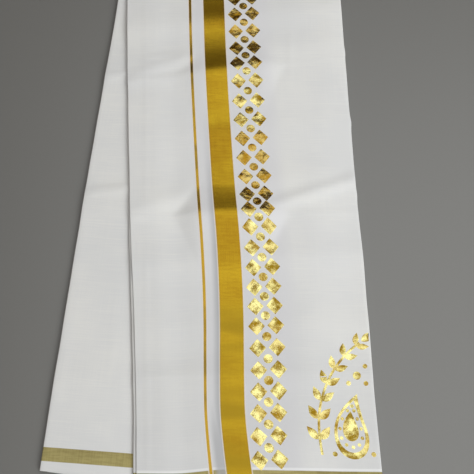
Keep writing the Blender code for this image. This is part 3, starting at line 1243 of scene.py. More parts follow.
@dataclass
class CornerMotif(PressedFoil):
    """A plain paisley with a leafed stem beside it, near the hem and the right fold."""

    belly: Spot = Spot(0.2215, 0.0690)
    half_width: float = 0.0225
    half_height: float = 0.0330
    bend: float = 0.0100
    tip_power: float = 1.0
    border_start: float = 0.80
    ring: float = 0.64
    ring_dots: int = 13
    ring_dot: float = 0.0036
    core: float = 0.46
    border_steps: tuple[int, int] = (64, 2)
    core_steps: tuple[int, int] = (10, 10)
    stem: tuple[Spot, Spot, Spot] = (
        Spot(0.1890, 0.0400),
        Spot(0.1850, 0.1180),
        Spot(0.2370, 0.1560),
    )
    stem_width: float = 0.0026
    stem_steps: tuple[int, int] = (48, 1)
    leaf: tuple[float, float] = (0.0170, 0.0084)
    leaf_steps: tuple[int, int] = (8, 3)
    leaf_power: float = 0.8
    leaf_pairs: int = 7
    first_pair: float = 0.6
    leaf_angle: float = 0.66
    leaf_taper: float = 0.25
    filler_dots: tuple[tuple[Spot, float], ...] = (
        (Spot(0.2325, 0.1210), 0.0085),
        (Spot(0.2415, 0.1130), 0.0050),
        (Spot(0.2235, 0.1130), 0.0050),
        (Spot(0.2415, 0.1310), 0.0050),
        (Spot(0.2020, 0.0410), 0.0050),
        (Spot(0.2410, 0.0410), 0.0050),
    )

    def build(self, material: bpy.types.Material) -> bpy.types.Object:
        """Make the paisley, the stem with its leaves, and the fillers.

        Args:
            material: The finish.

        Returns:
            The foil.
        """
        self.add_paisley()
        self.add_stem()
        for middle, size in self.filler_dots:
            self.add_dot(middle, size)
        return self.press("foil_motif", material)

    def paisley(self, scale: float, angle: float) -> Spot:
        """Give a point of the paisley's outline.

        Args:
            scale: The size the outline is drawn at, about its belly, beside its full size.
            angle: How far round it the point is, from the tip.

        Returns:
            The point on the flat cloth.
        """
        wide = self.half_width * math.sin(angle) * abs(math.sin(angle / 2)) ** self.tip_power
        tall = self.half_height * math.cos(angle)
        rise = max(scale * tall / self.half_height, 0.0)
        across = scale * wide + self.bend * rise * rise
        return Spot(self.belly.across + across, self.belly.along + scale * tall)

    def add_paisley(self) -> None:
        """Add the paisley: a closed border, a ring of dots, and a solid core."""

        def border(s: float, t: float) -> Spot:
            """Bring the tile's grid onto the border, s round it and t outwards."""
            scale = self.border_start + (1.0 - self.border_start) * (t + 1.0) / 2
            return self.paisley(scale, math.pi * (s + 1.0))

        def core(s: float, t: float) -> Spot:
            """Bring the tile's grid onto the core."""
            wide, tall = round_off(s, t)
            return self.paisley(self.core * math.hypot(wide, tall), math.atan2(wide, tall))

        self.add_tile(self.border_steps, border)
        self.add_tile(self.core_steps, core)
        for dot in range(self.ring_dots):
            angle = 2 * math.pi * (dot + 0.5) / self.ring_dots
            self.add_dot(self.paisley(self.ring, angle), self.ring_dot)

    def stem_at(self, share: float) -> tuple[Vector, Vector]:
        """Find a point of the stem and the way it runs there.

        Args:
            share: How far along the stem it is, from 0 to 1.

        Returns:
            The point, and the stem's direction.
        """
        start, pull, end = (Vector(spot) for spot in self.stem)
        first, second = start.lerp(pull, share), pull.lerp(end, share)
        return first.lerp(second, share), (second - first).normalized()

    def add_stem(self) -> None:
        """Add the stem, with pairs of leaves that get smaller and one leaf at its tip."""

        def ribbon(s: float, t: float) -> Spot:
            """Bring the tile's grid onto the stem, s along it and t across."""
            point, run = self.stem_at((s + 1.0) / 2)
            return Spot(*(point + Vector((-run.y, run.x)) * t * self.stem_width / 2))

        self.add_tile(self.stem_steps, ribbon)
        for pair in range(self.leaf_pairs):
            share = (pair + self.first_pair) / self.leaf_pairs
            size = 1.0 - self.leaf_taper * share
            point, run = self.stem_at(share)
            for side in (-1.0, 1.0):
                way = Matrix.Rotation(side * self.leaf_angle, 2) @ run
                self.add_leaf(point + way * self.stem_width, way, size)
        point, run = self.stem_at(1.0)
        self.add_leaf(point + run * self.stem_width, run, 1.0)

    def add_leaf(self, foot: Vector, way: Vector, size: float) -> None:
        """Add one pointed leaf.

        Args:
            foot: Where it starts.
            way: The direction it points in.
            size: Its size beside a full leaf.
        """
        aside = Vector((-way.y, way.x))

        def spread(s: float, t: float) -> Spot:
            """Bring the tile's grid onto the leaf.

            Args:
                s: The place on the grid along the leaf, from -1 to 1.
                t: The place across it.

            Returns:
                The place on the flat cloth.
            """
            run = (s + 1.0) / 2
            wide = t * self.leaf[1] / 2 * math.sin(math.pi * run**self.leaf_power)
            return Spot(*(foot + (way * self.leaf[0] * run + aside * wide) * size))

        self.add_tile(self.leaf_steps, spread)


# The colours, as linear light.
WHITE_LIGHT: Colour = (0.850, 0.850, 0.835)
WHITE_SHADE: Colour = (0.775, 0.782, 0.790)
BORDER_WHITE: Colour = (0.765, 0.765, 0.790)
# Painted shade, laid on the cloth beside the band and towards its near hem.
BORDER_PAINTED_SHADE: Colour = (0.460, 0.467, 0.485)
PRESSED_WHITE: Colour = (0.930, 0.935, 0.950)
EDGING_PINK: Colour = (0.880, 0.800, 0.740)
BAND_LIGHT: Colour = (0.500, 0.320, 0.010)
BAND_SHADE: Colour = (0.345, 0.188, 0.002)
# Painted shade on the band's near end.
BAND_PAINTED_SHADE: Colour = (0.310, 0.195, 0.005)
LINE_LIGHT: Colour = (0.460, 0.285, 0.022)
LINE_WORN: Colour = (0.260, 0.165, 0.020)
STRIPE_LIGHT: Colour = (0.490, 0.420, 0.170)
STRIPE_SHADE: Colour = (0.220, 0.172, 0.050)
FOIL_LIGHT: Colour = (0.935, 0.855, 0.360)
FOIL_SHADE: Colour = (0.245, 0.148, 0.006)
# Amber, for the foil's warm patches and for its painted shade on some rows.
FOIL_AMBER_AND_PAINTED_SHADE: Colour = (0.430, 0.225, 0.018)
FLOOR_GREY: Colour = (0.175, 0.174, 0.167)

# Half the run over which a woven stripe's side fades.
CRISP = 0.0003

# Where a mix of streaks or grains eases from none to all, and how much of a mix each takes.
WHITE_RANGE: Span = (0.36, 0.62)
SLUB_RANGE: Span = (0.58, 0.74)
DARK_PICK_RANGE: Span = (0.64, 0.76)
FINE_GOLD_RANGE: Span = (0.38, 0.64)
BAR_RANGE: Span = (0.40, 0.60)
WORN_LINE_RANGE: Span = (0.44, 0.66)
FOIL_RANGE: Span = (0.39, 0.60)
WARM_RANGE: Span = (0.46, 0.58)
WORN_SPECK_RANGE: Span = (0.66, 0.72)
WARP_SHARE = 0.35
SLUB_SHARE = 0.14
CROSSING_HEIGHT = 0.35
CLOUD_SHARE = 0.6
BAR_SHARE = 0.65
FINE_TONE_SHARE = 0.35

# Grain, as features to the metre, and the height of each size of dent in the foil.
WHITE_CLOUD_GRAIN = 9.0
BROAD_DENT_GRAIN = 80.0
MIDDLE_DENT_GRAIN = 210.0
FINE_DENT_GRAIN = 1000.0
FOIL_TONE_GRAIN = 95.0
WARM_GRAIN = 34.0
WORN_SPECK_GRAIN = 900.0
FLOOR_GRAIN = 400.0
BROAD_DENT = 4.6
MIDDLE_DENT = 1.6
FINE_DENT = 0.36

# Streaks in the threads, as features to the metre across the cloth and along it.
WEFT_STREAKS: Scales = (30.0, 1300.0, 0.0)
WARP_STREAKS: Scales = (1100.0, 14.0, 0.0)
SLUB_STREAKS: Scales = (15.0, 480.0, 0.0)
PICK_STREAKS: Scales = (18.0, 1500.0, 0.0)
END_STREAKS: Scales = (1500.0, 30.0, 0.0)
CLOUD_STREAKS: Scales = (70.0, 420.0, 0.0)
BAR_STREAKS: Scales = (6.0, 21.0, 0.0)
# Bars of painted shade on the band.
BAND_SHADE_STREAKS: Scales = (4.0, 34.0, 0.0)
WORN_STREAKS: Scales = (20.0, 24.0, 0.0)

# Which of a mix node's sockets hold its colours.
MIX_FIRST = 6
MIX_SECOND = 7
MIX_RESULT = 2


class Wiring:
    """Adds nodes to one node tree, and links them."""

    def __init__(self, tree: bpy.types.NodeTree) -> None:
        """Take the tree that the nodes go into."""
        self.nodes = tree.nodes
        self.links = tree.links

    def feed(self, sockets: Sockets, values: dict) -> None:
        """Link sockets to others, or set them to constants.

        Args:
            sockets: A node's sockets.
            values: What each of them is fed, by its name or number.
        """
        for name, value in values.items():
            if isinstance(value, Socket):
                self.links.new(value, sockets[name])
            else:
                sockets[name].default_value = value

    def node(self, kind: str, inputs: dict | None = None, **settings: object) -> bpy.types.Node:
        """Add one node.

        Args:
            kind: The node's type, as Blender names it.
            inputs: What each of its inputs is fed, by its name or number.
            **settings: The node's own properties.

        Returns:
            The node.
        """
        made = self.nodes.new(kind)
        for name, value in settings.items():
            setattr(made, name, value)
        self.feed(made.inputs, inputs or {})
        return made

    def maths(self, operation: str, *values: Socket | float) -> Socket:
        """Work out a number from one, two or three others."""
        made = self.node("ShaderNodeMath", dict(enumerate(values)), operation=operation)
        return made.outputs[0]

    def grain(self, place: Socket, scale: float, detail: float = 2.0) -> Socket:
        """Give noise from 0 to 1, with scale features to the metre."""
        inputs = {"Vector": place, "Scale": scale, "Detail": detail}
        return self.node("ShaderNodeTexNoise", inputs).outputs[0]

    def streaks(self, place: Socket, scales: Scales, detail: float = 1.0) -> Socket:
        """Give noise from 0 to 1, with its own features to the metre along each axis."""
        scaled = self.node("ShaderNodeVectorMath", {0: place, 1: scales}, operation="MULTIPLY")
        return self.grain(scaled.outputs[0], 1.0, detail)

    def ramp(self, value: Socket, low: float, high: float) -> Socket:
        """Ease from 0 to 1 as a value goes from low to high.

        Args:
            value: The value.
            low: Where the easing starts.
            high: Where it ends, which may lie below low.

        Returns:
            The eased number.
        """
        inputs = {"Value": value, "From Min": low, "From Max": high}
        made = self.node("ShaderNodeMapRange", inputs, interpolation_type="SMOOTHSTEP")
        return made.outputs[0]

    def blend(self, share: Socket | float, first: object, second: object) -> Socket:
        """Mix two numbers: all of the first where share is 0."""
        inputs = {"Factor": share, "A": first, "B": second}
        return self.node("ShaderNodeMix", inputs, data_type="FLOAT").outputs[0]

    def tint(self, share: Socket | float, first: object, second: object) -> Socket:
        """Mix two colours: all of the first where share is 0."""
        inputs = {0: share, MIX_FIRST: self.colour(first), MIX_SECOND: self.colour(second)}
        return self.node("ShaderNodeMix", inputs, data_type="RGBA").outputs[MIX_RESULT]

    def colour(self, value: object) -> object:
        """Give a colour its alpha, and leave a socket as it is."""
        return value if isinstance(value, Socket) else (*value, 1.0)

    def effect(self, tree: bpy.types.NodeTree, **inputs: Socket | float) -> Sockets:
        """Place a shared effect, feed its inputs by name, and give its outputs."""
        return self.node("ShaderNodeGroup", inputs, node_tree=tree).outputs


class Effect(Wiring):
    """A shader node group, with named inputs and outputs."""

    def __init__(self, name: str, inputs: dict[str, str], outputs: dict[str, str]) -> None:
        """Make an empty group.

        Args:
            name: The group's name.
            inputs: The kind of each input, Float or Vector, by its name.
            outputs: The kind of each output, by its name.
        """
        self.tree = bpy.data.node_groups.new(name, "ShaderNodeTree")
        for in_out, sockets in (("INPUT", inputs), ("OUTPUT", outputs)):
            for socket, kind in sockets.items():
                self.tree.interface.new_socket(
                    name=socket, in_out=in_out, socket_type=f"NodeSocket{kind}"
                )
        super().__init__(self.tree)
        self.given = self.node("NodeGroupInput").outputs
        self.result = self.node("NodeGroupOutput").inputs

    def give(self, **values: Socket) -> bpy.types.NodeTree:
        """Link values to the group's outputs by name, and give the finished group."""
        self.feed(self.result, values)
        return self.tree


def flat_cloth_effect() -> bpy.types.NodeTree:
    """Make the effect that reads where a point lies on the flat cloth, in metres.

    Returns:
        The node group.
    """
    effect = Effect("flat_cloth", {}, {"Position": "Vector", "Across": "Float", "Along": "Float"})
    stored = effect.node("ShaderNodeUVMap", uv_map=FLAT_MAP).outputs[0]
    inputs = {0: stored, 1: (MAP_SPAN, MAP_SPAN, 0.0), 2: (MAP_START, MAP_START_ALONG, 0.0)}
    placed = effect.node("ShaderNodeVectorMath", inputs, operation="MULTIPLY_ADD").outputs[0]
    axes = effect.node("ShaderNodeSeparateXYZ", {0: placed}).outputs
    return effect.give(Position=placed, Across=axes[0], Along=axes[1])


def stripe_effect() -> bpy.types.NodeTree:
    """Make the effect that masks a stripe between two places, with soft sides.

    Returns:
        The node group.
    """
    names = ("Place", "Start", "End", "Soft")
    effect = Effect("stripe", dict.fromkeys(names, "Float"), {"Mask": "Float"})
    place, start, end, soft = (effect.given[name] for name in names)
    sides = []
    for side in (start, end):
        low = effect.maths("SUBTRACT", side, soft)
        high = effect.maths("ADD", side, soft)
        sides.append(effect.ramp(place, low, high))
    return effect.give(Mask=effect.maths("SUBTRACT", *sides))


def weave_effect() -> bpy.types.NodeTree:
    """Make the effect of a plain weave: one thread over, one under.

    Returns:
        The node group.
    """
    effect = Effect(
        "plain_weave",
        {"Position": "Vector", "Threads": "Float"},
        {"Height": "Float", "Slub": "Float"},
    )
    place = effect.given["Position"]
    inputs = {0: place, "Scale": effect.given["Threads"]}
    counted = effect.node("ShaderNodeVectorMath", inputs, operation="SCALE").outputs[0]
    axes = effect.node("ShaderNodeSeparateXYZ", {0: counted}).outputs
    waves = [effect.maths("SINE", effect.maths("MULTIPLY", axis, math.pi)) for axis in axes[:2]]
    over = effect.maths("MULTIPLY", *waves)
    weft, warp = effect.streaks(place, WEFT_STREAKS), effect.streaks(place, WARP_STREAKS)
    thick = effect.ramp(effect.streaks(place, SLUB_STREAKS), *SLUB_RANGE)
    slub = effect.blend(SLUB_SHARE, effect.blend(WARP_SHARE, weft, warp), thick)
    height = effect.maths("MULTIPLY_ADD", over, CROSSING_HEIGHT, slub)
    return effect.give(Height=height, Slub=slub)


def gold_thread_effect() -> bpy.types.NodeTree:
    """Make the effect of woven gold thread: a fine rib, and a darker pick here and there.

    Returns:
        The node group.
    """
    effect = Effect("gold_thread", {"Position": "Vector"}, {"Height": "Float", "Shade": "Float"})
    place = effect.given["Position"]
    picks, ends = effect.streaks(place, PICK_STREAKS), effect.streaks(place, END_STREAKS)
    cloud = effect.streaks(place, CLOUD_STREAKS, detail=3.0)
    fine = effect.ramp(effect.blend(CLOUD_SHARE, ends, cloud), *FINE_GOLD_RANGE)
    bars = effect.ramp(effect.streaks(place, BAR_STREAKS), *BAR_RANGE)
    mixed = effect.blend(BAR_SHARE, fine, bars)
    shade = effect.maths("MAXIMUM", mixed, effect.ramp(picks, *DARK_PICK_RANGE))
    return effect.give(Height=effect.maths("ADD", picks, ends), Shade=shade)


def crinkle_effect() -> bpy.types.NodeTree:
    """Make the effect of pressed foil: broad dents, fine crinkles, and worn specks.

    Returns:
        The node group.
    """
    effect = Effect(
        "foil_crinkle",
        {"Position": "Vector"},
        {"Height": "Float", "Tone": "Float", "Warm": "Float", "Worn": "Float"},
    )
    place = effect.given["Position"]
    broad = effect.grain(place, BROAD_DENT_GRAIN, detail=1.0)
    middle = effect.maths("MULTIPLY", effect.grain(place, MIDDLE_DENT_GRAIN), MIDDLE_DENT)
    dents = effect.maths("MULTIPLY_ADD", broad, BROAD_DENT, middle)
    fine = effect.grain(place, FINE_DENT_GRAIN)
    tone = effect.grain(place, FOIL_TONE_GRAIN, detail=3.0)
    warm = effect.grain(place, WARM_GRAIN, detail=1.0)
    specks = effect.grain(place, WORN_SPECK_GRAIN, detail=3.0)
    return effect.give(
        Height=effect.maths("MULTIPLY_ADD", fine, FINE_DENT, dents),
        Tone=effect.blend(FINE_TONE_SHARE, tone, fine),
        Warm=effect.ramp(warm, *WARM_RANGE),
        Worn=effect.ramp(specks, *WORN_SPECK_RANGE),
    )


@dataclass(frozen=True)
class Effects:
    """The shared effects, each built once."""

    flat_cloth: bpy.types.NodeTree = field(default_factory=flat_cloth_effect)
    stripe: bpy.types.NodeTree = field(default_factory=stripe_effect)
    weave: bpy.types.NodeTree = field(default_factory=weave_effect)
    gold_thread: bpy.types.NodeTree = field(default_factory=gold_thread_effect)
    crinkle: bpy.types.NodeTree = field(default_factory=crinkle_effect)


class Surface(Wiring):
    """A material with a Principled shader, and the wiring of its tree."""

    def __init__(self, name: str) -> None:
        """Make the material.

        Args:
            name: The material's name.
        """
        self.material = bpy.data.materials.new(name)
        self.material.use_nodes = True
        super().__init__(self.material.node_tree)
        self.shader = self.nodes["Principled BSDF"].inputs

    def show(self, inputs: dict[str, Socket | float]) -> bpy.types.Material:
        """Feed the shader's inputs by name, and give the material."""
        self.feed(self.shader, inputs)
        return self.material


class ClothSurface(Surface):
    """A material that is drawn by where a point lies on the flat cloth."""

    def __init__(self, name: str, effects: Effects) -> None:
        """Make the material.

        Args:
            name: The material's name.
            effects: The shared effects.
        """
        super().__init__(name)
        self.effects = effects
        flat = self.effect(effects.flat_cloth)
        self.position, self.across, self.along = flat["Position"], flat["Across"], flat["Along"]

    def stripe(self, place: Socket, start: float, end: float, soft: float = CRISP) -> Socket:
        """Mask the stripe between two places."""
        found = self.effect(self.effects.stripe, Place=place, Start=start, End=end, Soft=soft)
        return found["Mask"]

    def wash(self, mask: Socket, share: Socket | float, under: Socket, over: Colour) -> Socket:
        """Tint what is under with a colour, as much as a share of the mask."""
        return self.tint(self.maths("MULTIPLY", mask, share), under, over)

    def dent(self, depth: float, height: Socket) -> Socket:
        """Give the normal of a surface whose dents are as deep as the depth times the height."""
        bump = {"Strength": 1.0, "Distance": depth, "Height": height}
        return self.node("ShaderNodeBump", bump).outputs[0]


class Look(NamedTuple):
    """What a point of the cloth looks like."""

    colour: Socket
    metal: Socket
    rough: Socket
    height: Socket


@dataclass(frozen=True)
class ClothFinish:
    """Bleached cotton, with a dull gold stripe inside each hem."""

    name: str
    threads: float = 1900.0
    slub_share: float = 0.38
    roughness: float = 0.86
    stripe_roughness: float = 0.60
    stripe_metal: float = 0.35
    sheen: float = 0.03
    weave_depth: float = 0.00006

    def make(self, effects: Effects) -> bpy.types.Material:
        """Build the material.

        Args:
            effects: The shared effects.

        Returns:
            The material.
        """
        surface = ClothSurface(self.name, effects)
        place = {"Position": surface.position}
        weave = surface.effect(effects.weave, Threads=self.threads, **place)
        thread = surface.effect(effects.gold_thread, **place)
        cloud = surface.grain(surface.position, WHITE_CLOUD_GRAIN, detail=3.0)
        tone = surface.blend(self.slub_share, cloud, weave["Slub"])
        white = surface.tint(surface.ramp(tone, *WHITE_RANGE), WHITE_SHADE, WHITE_LIGHT)
        stripe = self.hem_stripes(surface)
        stripe_gold = surface.tint(thread["Shade"], STRIPE_LIGHT, STRIPE_SHADE)
        look = Look(
            colour=surface.tint(stripe, self.shade_white(surface, white), stripe_gold),
            metal=surface.maths("MULTIPLY", stripe, self.stripe_metal),
            rough=surface.blend(stripe, self.roughness, self.stripe_roughness),
            height=weave["Height"],
        )
        look = self.add_border(surface, thread, look)
        return surface.show(
            {
                "Base Color": look.colour,
                "Metallic": look.metal,
                "Roughness": look.rough,
                "Normal": surface.dent(self.weave_depth, look.height),
                "Sheen Weight": self.sheen,
            }
        )

    def hem_stripes(self, surface: ClothSurface) -> Socket:
        """Mask the stripes inside both hems.

        Args:
            surface: The material.

        Returns:
            The mask.
        """
        far_start = CLOTH_WIDTH - STRIPE_MARGIN - STRIPE_WIDTH
        near = surface.stripe(surface.along, STRIPE_MARGIN, STRIPE_MARGIN + STRIPE_WIDTH)
        far = surface.stripe(surface.along, far_start, far_start + STRIPE_WIDTH)
        return surface.maths("ADD", near, far)

    def shade_white(self, surface: ClothSurface, white: Socket) -> Socket:
        """Leave the plain cloth's white as it is."""
        return white

    def add_border(self, surface: ClothSurface, thread: Sockets, look: Look) -> Look:
        """Leave the plain cloth without a border."""
        return look


class PaintedBandShade(NamedTuple):
    """Painted shade on a strip of cloth beside the band, with soft sides, easing in along it."""

    start: float
    end: float
    soft: float
    run: Span
    share: float


@dataclass(frozen=True)
class BorderedFinish(ClothFinish):
    """The cotton with its woven gold band and line, and the painted shade about them.

    A span that ends before it starts eases in towards the near hem.
    """

    band_roughness: float = 0.27
    band_metal: float = 0.92
    band_coat: float = 0.18
    band_coat_roughness: float = 0.30
    band_depth: float = 0.4
    # Painted shade on the band: where it eases in along the cloth, and its least and greatest
    # share.
    band_shade_run: Span = (0.215, 0.170)
    least_band_shade: float = 0.30
    band_shade_share: float = 0.90
    edging_share: float = 0.6
    tinted: Span = (0.076, 0.168)
    tinted_soft: float = 0.010
    tinted_share: float = 0.9
    hem_shade_run: Span = (0.30, 0.06)
    hem_shade_share: float = 0.20
    pressed_gap: float = 0.0004
    pressed_width: float = 0.0024
    pressed_soft: float = 0.0006
    pressed_share: float = 0.7
    # Painted shade on the cloth beside the band's left, and between the line and the band at the
    # near hem.
    painted_shades: tuple[PaintedBandShade, PaintedBandShade] = (
        PaintedBandShade(
            start=BAND_START - PAINTED_SHADE_BESIDE,
            end=BAND_START + PAINTED_SHADE_OVER,
            soft=0.004,
            run=(0.46, 0.24),
            share=0.85,
        ),
        PaintedBandShade(
            start=LINE_END + LINE_CLEAR,
            end=BAND_START,
            soft=0.003,
            run=(0.100, 0.045),
            share=0.75,
        ),
    )

    def shade_white(self, surface: ClothSurface, white: Socket) -> Socket:
        """Tint the white about the border, paint shade over its near end, and press a pale line
        in it.

        Args:
            surface: The material.
            white: The plain cloth's white.

        Returns:
            The shaded white.
        """
        tinted = surface.stripe(surface.across, *self.tinted, self.tinted_soft)
        white = surface.wash(tinted, self.tinted_share, white, BORDER_WHITE)
        # Painted shade, darker towards the near hem.
        hem_shade = surface.ramp(surface.along, *self.hem_shade_run)
        white = surface.wash(hem_shade, self.hem_shade_share, white, BORDER_PAINTED_SHADE)
        start = STRIPE_MARGIN + STRIPE_WIDTH + self.pressed_gap
        end = start + self.pressed_width
        pressed = surface.stripe(surface.along, start, end, self.pressed_soft)
        return surface.wash(pressed, self.pressed_share, white, PRESSED_WHITE)

    def add_border(self, surface: ClothSurface, thread: Sockets, look: Look) -> Look:
        """Weave in the gold band and the line, each with its pale edging.

        Args:
            surface: The material.
            thread: What the gold thread's effect puts out.
            look: What the cloth looks like without them.

        Returns:
            What it looks like with them.
        """
        band, line, band_edging, line_edging = (
            surface.stripe(surface.across, start - edging, end + edging)
            for edging in (0.0, EDGING)
            for start, end in ((BAND_START, BAND_END), (LINE_START, LINE_END))
        )
        edgings = surface.maths("ADD", band_edging, line_edging)
        colour = self.paint_shade_beside_band(surface, look.colour)
        colour = surface.wash(edgings, self.edging_share, colour, EDGING_PINK)
        colour = surface.tint(band, colour, self.band_gold(surface, thread["Shade"]))
        worn = surface.streaks(surface.position, WORN_STREAKS, detail=2.0)
        line_gold = surface.tint(surface.ramp(worn, *WORN_LINE_RANGE), LINE_LIGHT, LINE_WORN)
        colour = surface.tint(line, colour, line_gold)
        border = surface.maths("ADD", band, line)
        rib = surface.maths("MULTIPLY", thread["Height"], self.band_depth)
        coat = surface.maths("MULTIPLY", border, self.band_coat)
        surface.show({"Coat Weight": coat, "Coat Roughness": self.band_coat_roughness})
        return Look(
            colour=colour,
            metal=surface.blend(border, look.metal, self.band_metal),
            rough=surface.blend(border, look.rough, self.band_roughness),
            height=surface.blend(border, look.height, rib),
        )

    def band_gold(self, surface: ClothSurface, shade: Socket) -> Socket:
        """Colour the band, with painted shade in bars over its near end.

        Args:
            surface: The material.
            shade: How dark the gold thread is.

        Returns:
            The band's colour.
        """
        gold = surface.tint(shade, BAND_LIGHT, BAND_SHADE)
        # Painted shade on the band's gold, in bars, stronger towards the near hem.
        towards_hem = surface.ramp(surface.along, *self.band_shade_run)
        bars = surface.ramp(surface.streaks(surface.position, BAND_SHADE_STREAKS), *BAR_RANGE)
        share = surface.blend(bars, self.least_band_shade, self.band_shade_share)
        return surface.wash(towards_hem, share, gold, BAND_PAINTED_SHADE)

    def paint_shade_beside_band(self, surface: ClothSurface, colour: Socket) -> Socket:
        """Paint shade on the cloth on the band's left, darker towards the near hem.

        Args:
            surface: The material.
            colour: The cloth's colour.

        Returns:
            The colour with the painted shade in it.
        """
        masks = []
        for shade in self.painted_shades:
            strip = surface.stripe(surface.across, shade.start, shade.end, shade.soft)
            near = surface.ramp(surface.along, *shade.run)
            share = surface.maths("MULTIPLY", near, shade.share)
            masks.append(surface.maths("MULTIPLY", strip, share))
        return surface.tint(surface.maths("MAXIMUM", *masks), colour, BORDER_PAINTED_SHADE)


@dataclass(frozen=True)
class FoilFinish:
    """Gold foil, crinkled with the cloth under it, and darker with painted shade on some rows."""

    name: str = "gold_foil"
    roughness: float = 0.19
    worn_roughness: float = 0.70
    warm_share: float = 0.25
    shaded_rows: Span = (0.302, 0.408)
    shaded_rows_soft: float = 0.010
    shaded_far_run: Span = (0.470, 0.495)
    shaded_share: float = 0.60
    dent_depth: float = 0.00038

    def make(self, effects: Effects) -> bpy.types.Material:
        """Build the material.

        Args:
            effects: The shared effects.

        Returns:
            The material.
        """
        surface = ClothSurface(self.name, effects)
        crinkle = surface.effect(effects.crinkle, Position=surface.position)
        gold = surface.tint(surface.ramp(crinkle["Tone"], *FOIL_RANGE), FOIL_LIGHT, FOIL_SHADE)
        # Painted shade: darker amber over a run of rows and past a place along the cloth.
        rows = surface.stripe(surface.along, *self.shaded_rows, self.shaded_rows_soft)
        row_shade = surface.maths("ADD", rows, surface.ramp(surface.along, *self.shaded_far_run))
        row_shade = surface.maths("MULTIPLY", row_shade, self.shaded_share)
        warm = surface.maths("MULTIPLY", crinkle["Warm"], self.warm_share)
        gold = surface.tint(surface.maths("MAXIMUM", warm, row_shade), gold, FOIL_AMBER_AND_PAINTED_SHADE)
        worn = crinkle["Worn"]
        return surface.show(
            {
                "Base Color": surface.tint(worn, gold, WHITE_SHADE),
                "Metallic": surface.maths("SUBTRACT", 1.0, worn),
                "Roughness": surface.blend(worn, self.roughness, self.worn_roughness),
                "Normal": surface.dent(self.dent_depth, crinkle["Height"]),
            }
        )


@dataclass(frozen=True)
class FloorFinish:
    """A plain, matt paper floor with a faint grain."""

    name: str = "studio_floor"
    roughness: float = 0.40
    gloss: float = 1.0
    grain_shade: float = 0.94

    def make(self) -> bpy.types.Material:
        """Build the material.

        Returns:
            The material.
        """
        surface = Surface(self.name)
        place = surface.node("ShaderNodeTexCoord").outputs["Object"]
        darker = tuple(self.grain_shade * part for part in FLOOR_GREY)
        return surface.show(
            {
                "Base Color": surface.tint(surface.grain(place, FLOOR_GRAIN), FLOOR_GREY, darker),
                "Roughness": self.roughness,
                "Specular IOR Level": self.gloss,
            }
        )


class SoftBox(NamedTuple):
    """A soft box: its middle, where it points, its size, and its power."""

    name: str
    place: Point
    aim: Point
    width: float
    length: float
    power: float


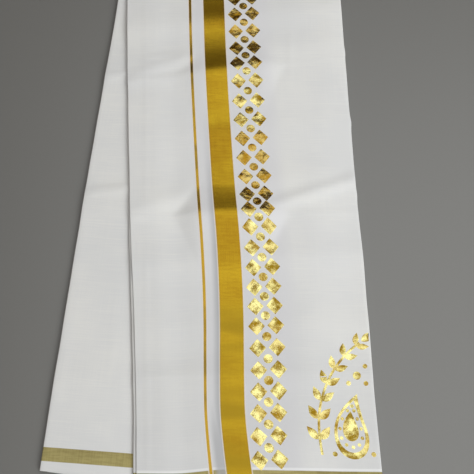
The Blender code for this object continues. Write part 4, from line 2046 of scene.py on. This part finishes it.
@dataclass
class Studio:
    """A plain floor, soft light, and the camera over the strip."""

    floor_size: float = 12.0
    world_light: float = 0.10
    world_tint: Colour = (1.0, 0.80, 0.62)
    box_tint: Colour = (0.968, 0.990, 0.988)
    boxes: tuple[SoftBox, ...] = (
        SoftBox(
            name="overhead",
            place=(0.66, -0.15, 1.60),
            aim=(0.66, -0.15, 0.0),
            width=2.2,
            length=2.04,
            power=17.5,
        ),
        SoftBox(
            name="key",
            place=(2.0, -2.4, 1.9),
            aim=(0.0, -0.3, 0.0),
            width=1.8,
            length=1.8,
            power=80.0,
        ),
    )

    def lay_floor(self) -> bpy.types.Object:
        """Lay the floor at z 0, and keep it off the part's list.

        Returns:
            The floor.
        """
        shape = bmesh.new()
        bmesh.ops.create_grid(shape, x_segments=1, y_segments=1, size=self.floor_size / 2)
        floor = finish_mesh("floor", shape)
        floor.data.materials.append(FloorFinish().make())
        return floor

    def hang(self, box: SoftBox) -> None:
        """Hang one soft box.

        Args:
            box: Where it hangs, and what it gives.
        """
        lamp = bpy.data.lights.new(box.name, "AREA")
        lamp.shape = "RECTANGLE"
        lamp.size, lamp.size_y = box.width, box.length
        lamp.energy = box.power
        lamp.color = self.box_tint
        hung = bpy.data.objects.new(box.name, lamp)
        hung.location = box.place
        aim = Vector(box.aim) - Vector(box.place)
        hung.rotation_euler = aim.to_track_quat("-Z", "Y").to_euler()
        bpy.context.scene.collection.objects.link(hung)

    def light(self) -> None:
        """Hang the soft boxes, and fill the rest with an even, dim light."""
        for box in self.boxes:
            self.hang(box)
        world = bpy.data.worlds.new("studio")
        world.use_nodes = True
        back = world.node_tree.nodes["Background"].inputs
        back["Color"].default_value = (*self.world_tint, 1.0)
        back["Strength"].default_value = self.world_light
        bpy.context.scene.world = world

    def place_camera(self) -> None:
        """Stand the camera over the strip's near half, tilted up along it."""
        lens = bpy.data.cameras.new("camera")
        lens.sensor_width = SENSOR_WIDTH
        lens.lens = FOCAL_PIXELS / IMAGE_SIZE * SENSOR_WIDTH
        camera = bpy.data.objects.new("camera", lens)
        camera.location = CAMERA_PLACE
        camera.rotation_euler = Euler((math.radians(CAMERA_TILT), 0.0, 0.0))
        bpy.context.scene.collection.objects.link(camera)
        bpy.context.scene.camera = camera
        bpy.context.scene.view_settings.view_transform = "Standard"


def declare_sheets(
    stretches: dict[str, Stretch],
    prints: list[bpy.types.Object],
) -> None:
    """Look over every stretch and the prints, without declaring anything.

    Args:
        stretches: What each was built from.
        prints: The foil on the front panel.
    """
    for name, stretch in stretches.items():
        doubled = isinstance(stretch, FoldedPair)
        prints if isinstance(stretch, BorderedStretch) else ()


def main() -> None:
    """Build the cloth, its print and the studio, in order."""
    logging.basicConfig(level=logging.INFO, format="%(name)s: %(message)s")
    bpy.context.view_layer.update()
    folded = FoldedCloth()
    parts = (
        folded.front(),
        folded.second(),
        folded.rear(),
        folded.lower(),
        folded.hidden_left(),
        folded.hidden_right(),
    )
    stretches = {stretch.name: stretch for stretch in parts}
    effects = Effects()
    bordered = BorderedFinish("bordered_cotton").make(effects)
    plain = ClothFinish("plain_cotton").make(effects)
    gold = FoilFinish().make(effects)
    cloth = {
        name: stretch.build(bordered if isinstance(stretch, BorderedStretch) else plain)
        for name, stretch in stretches.items()
    }
    printed = stretches["front_cloth"]
    prints = [foil(panel=printed).build(gold) for foil in (BorderRepeat, CornerMotif)]
    for piece in (*cloth.values(), *prints):
        LOG.info("%s has %d faces", piece.name, len(piece.data.polygons))
    declare_sheets(stretches, prints)
    studio = Studio()
    studio.lay_floor()
    studio.light()
    studio.place_camera()


if __name__ == "__main__":
    main()
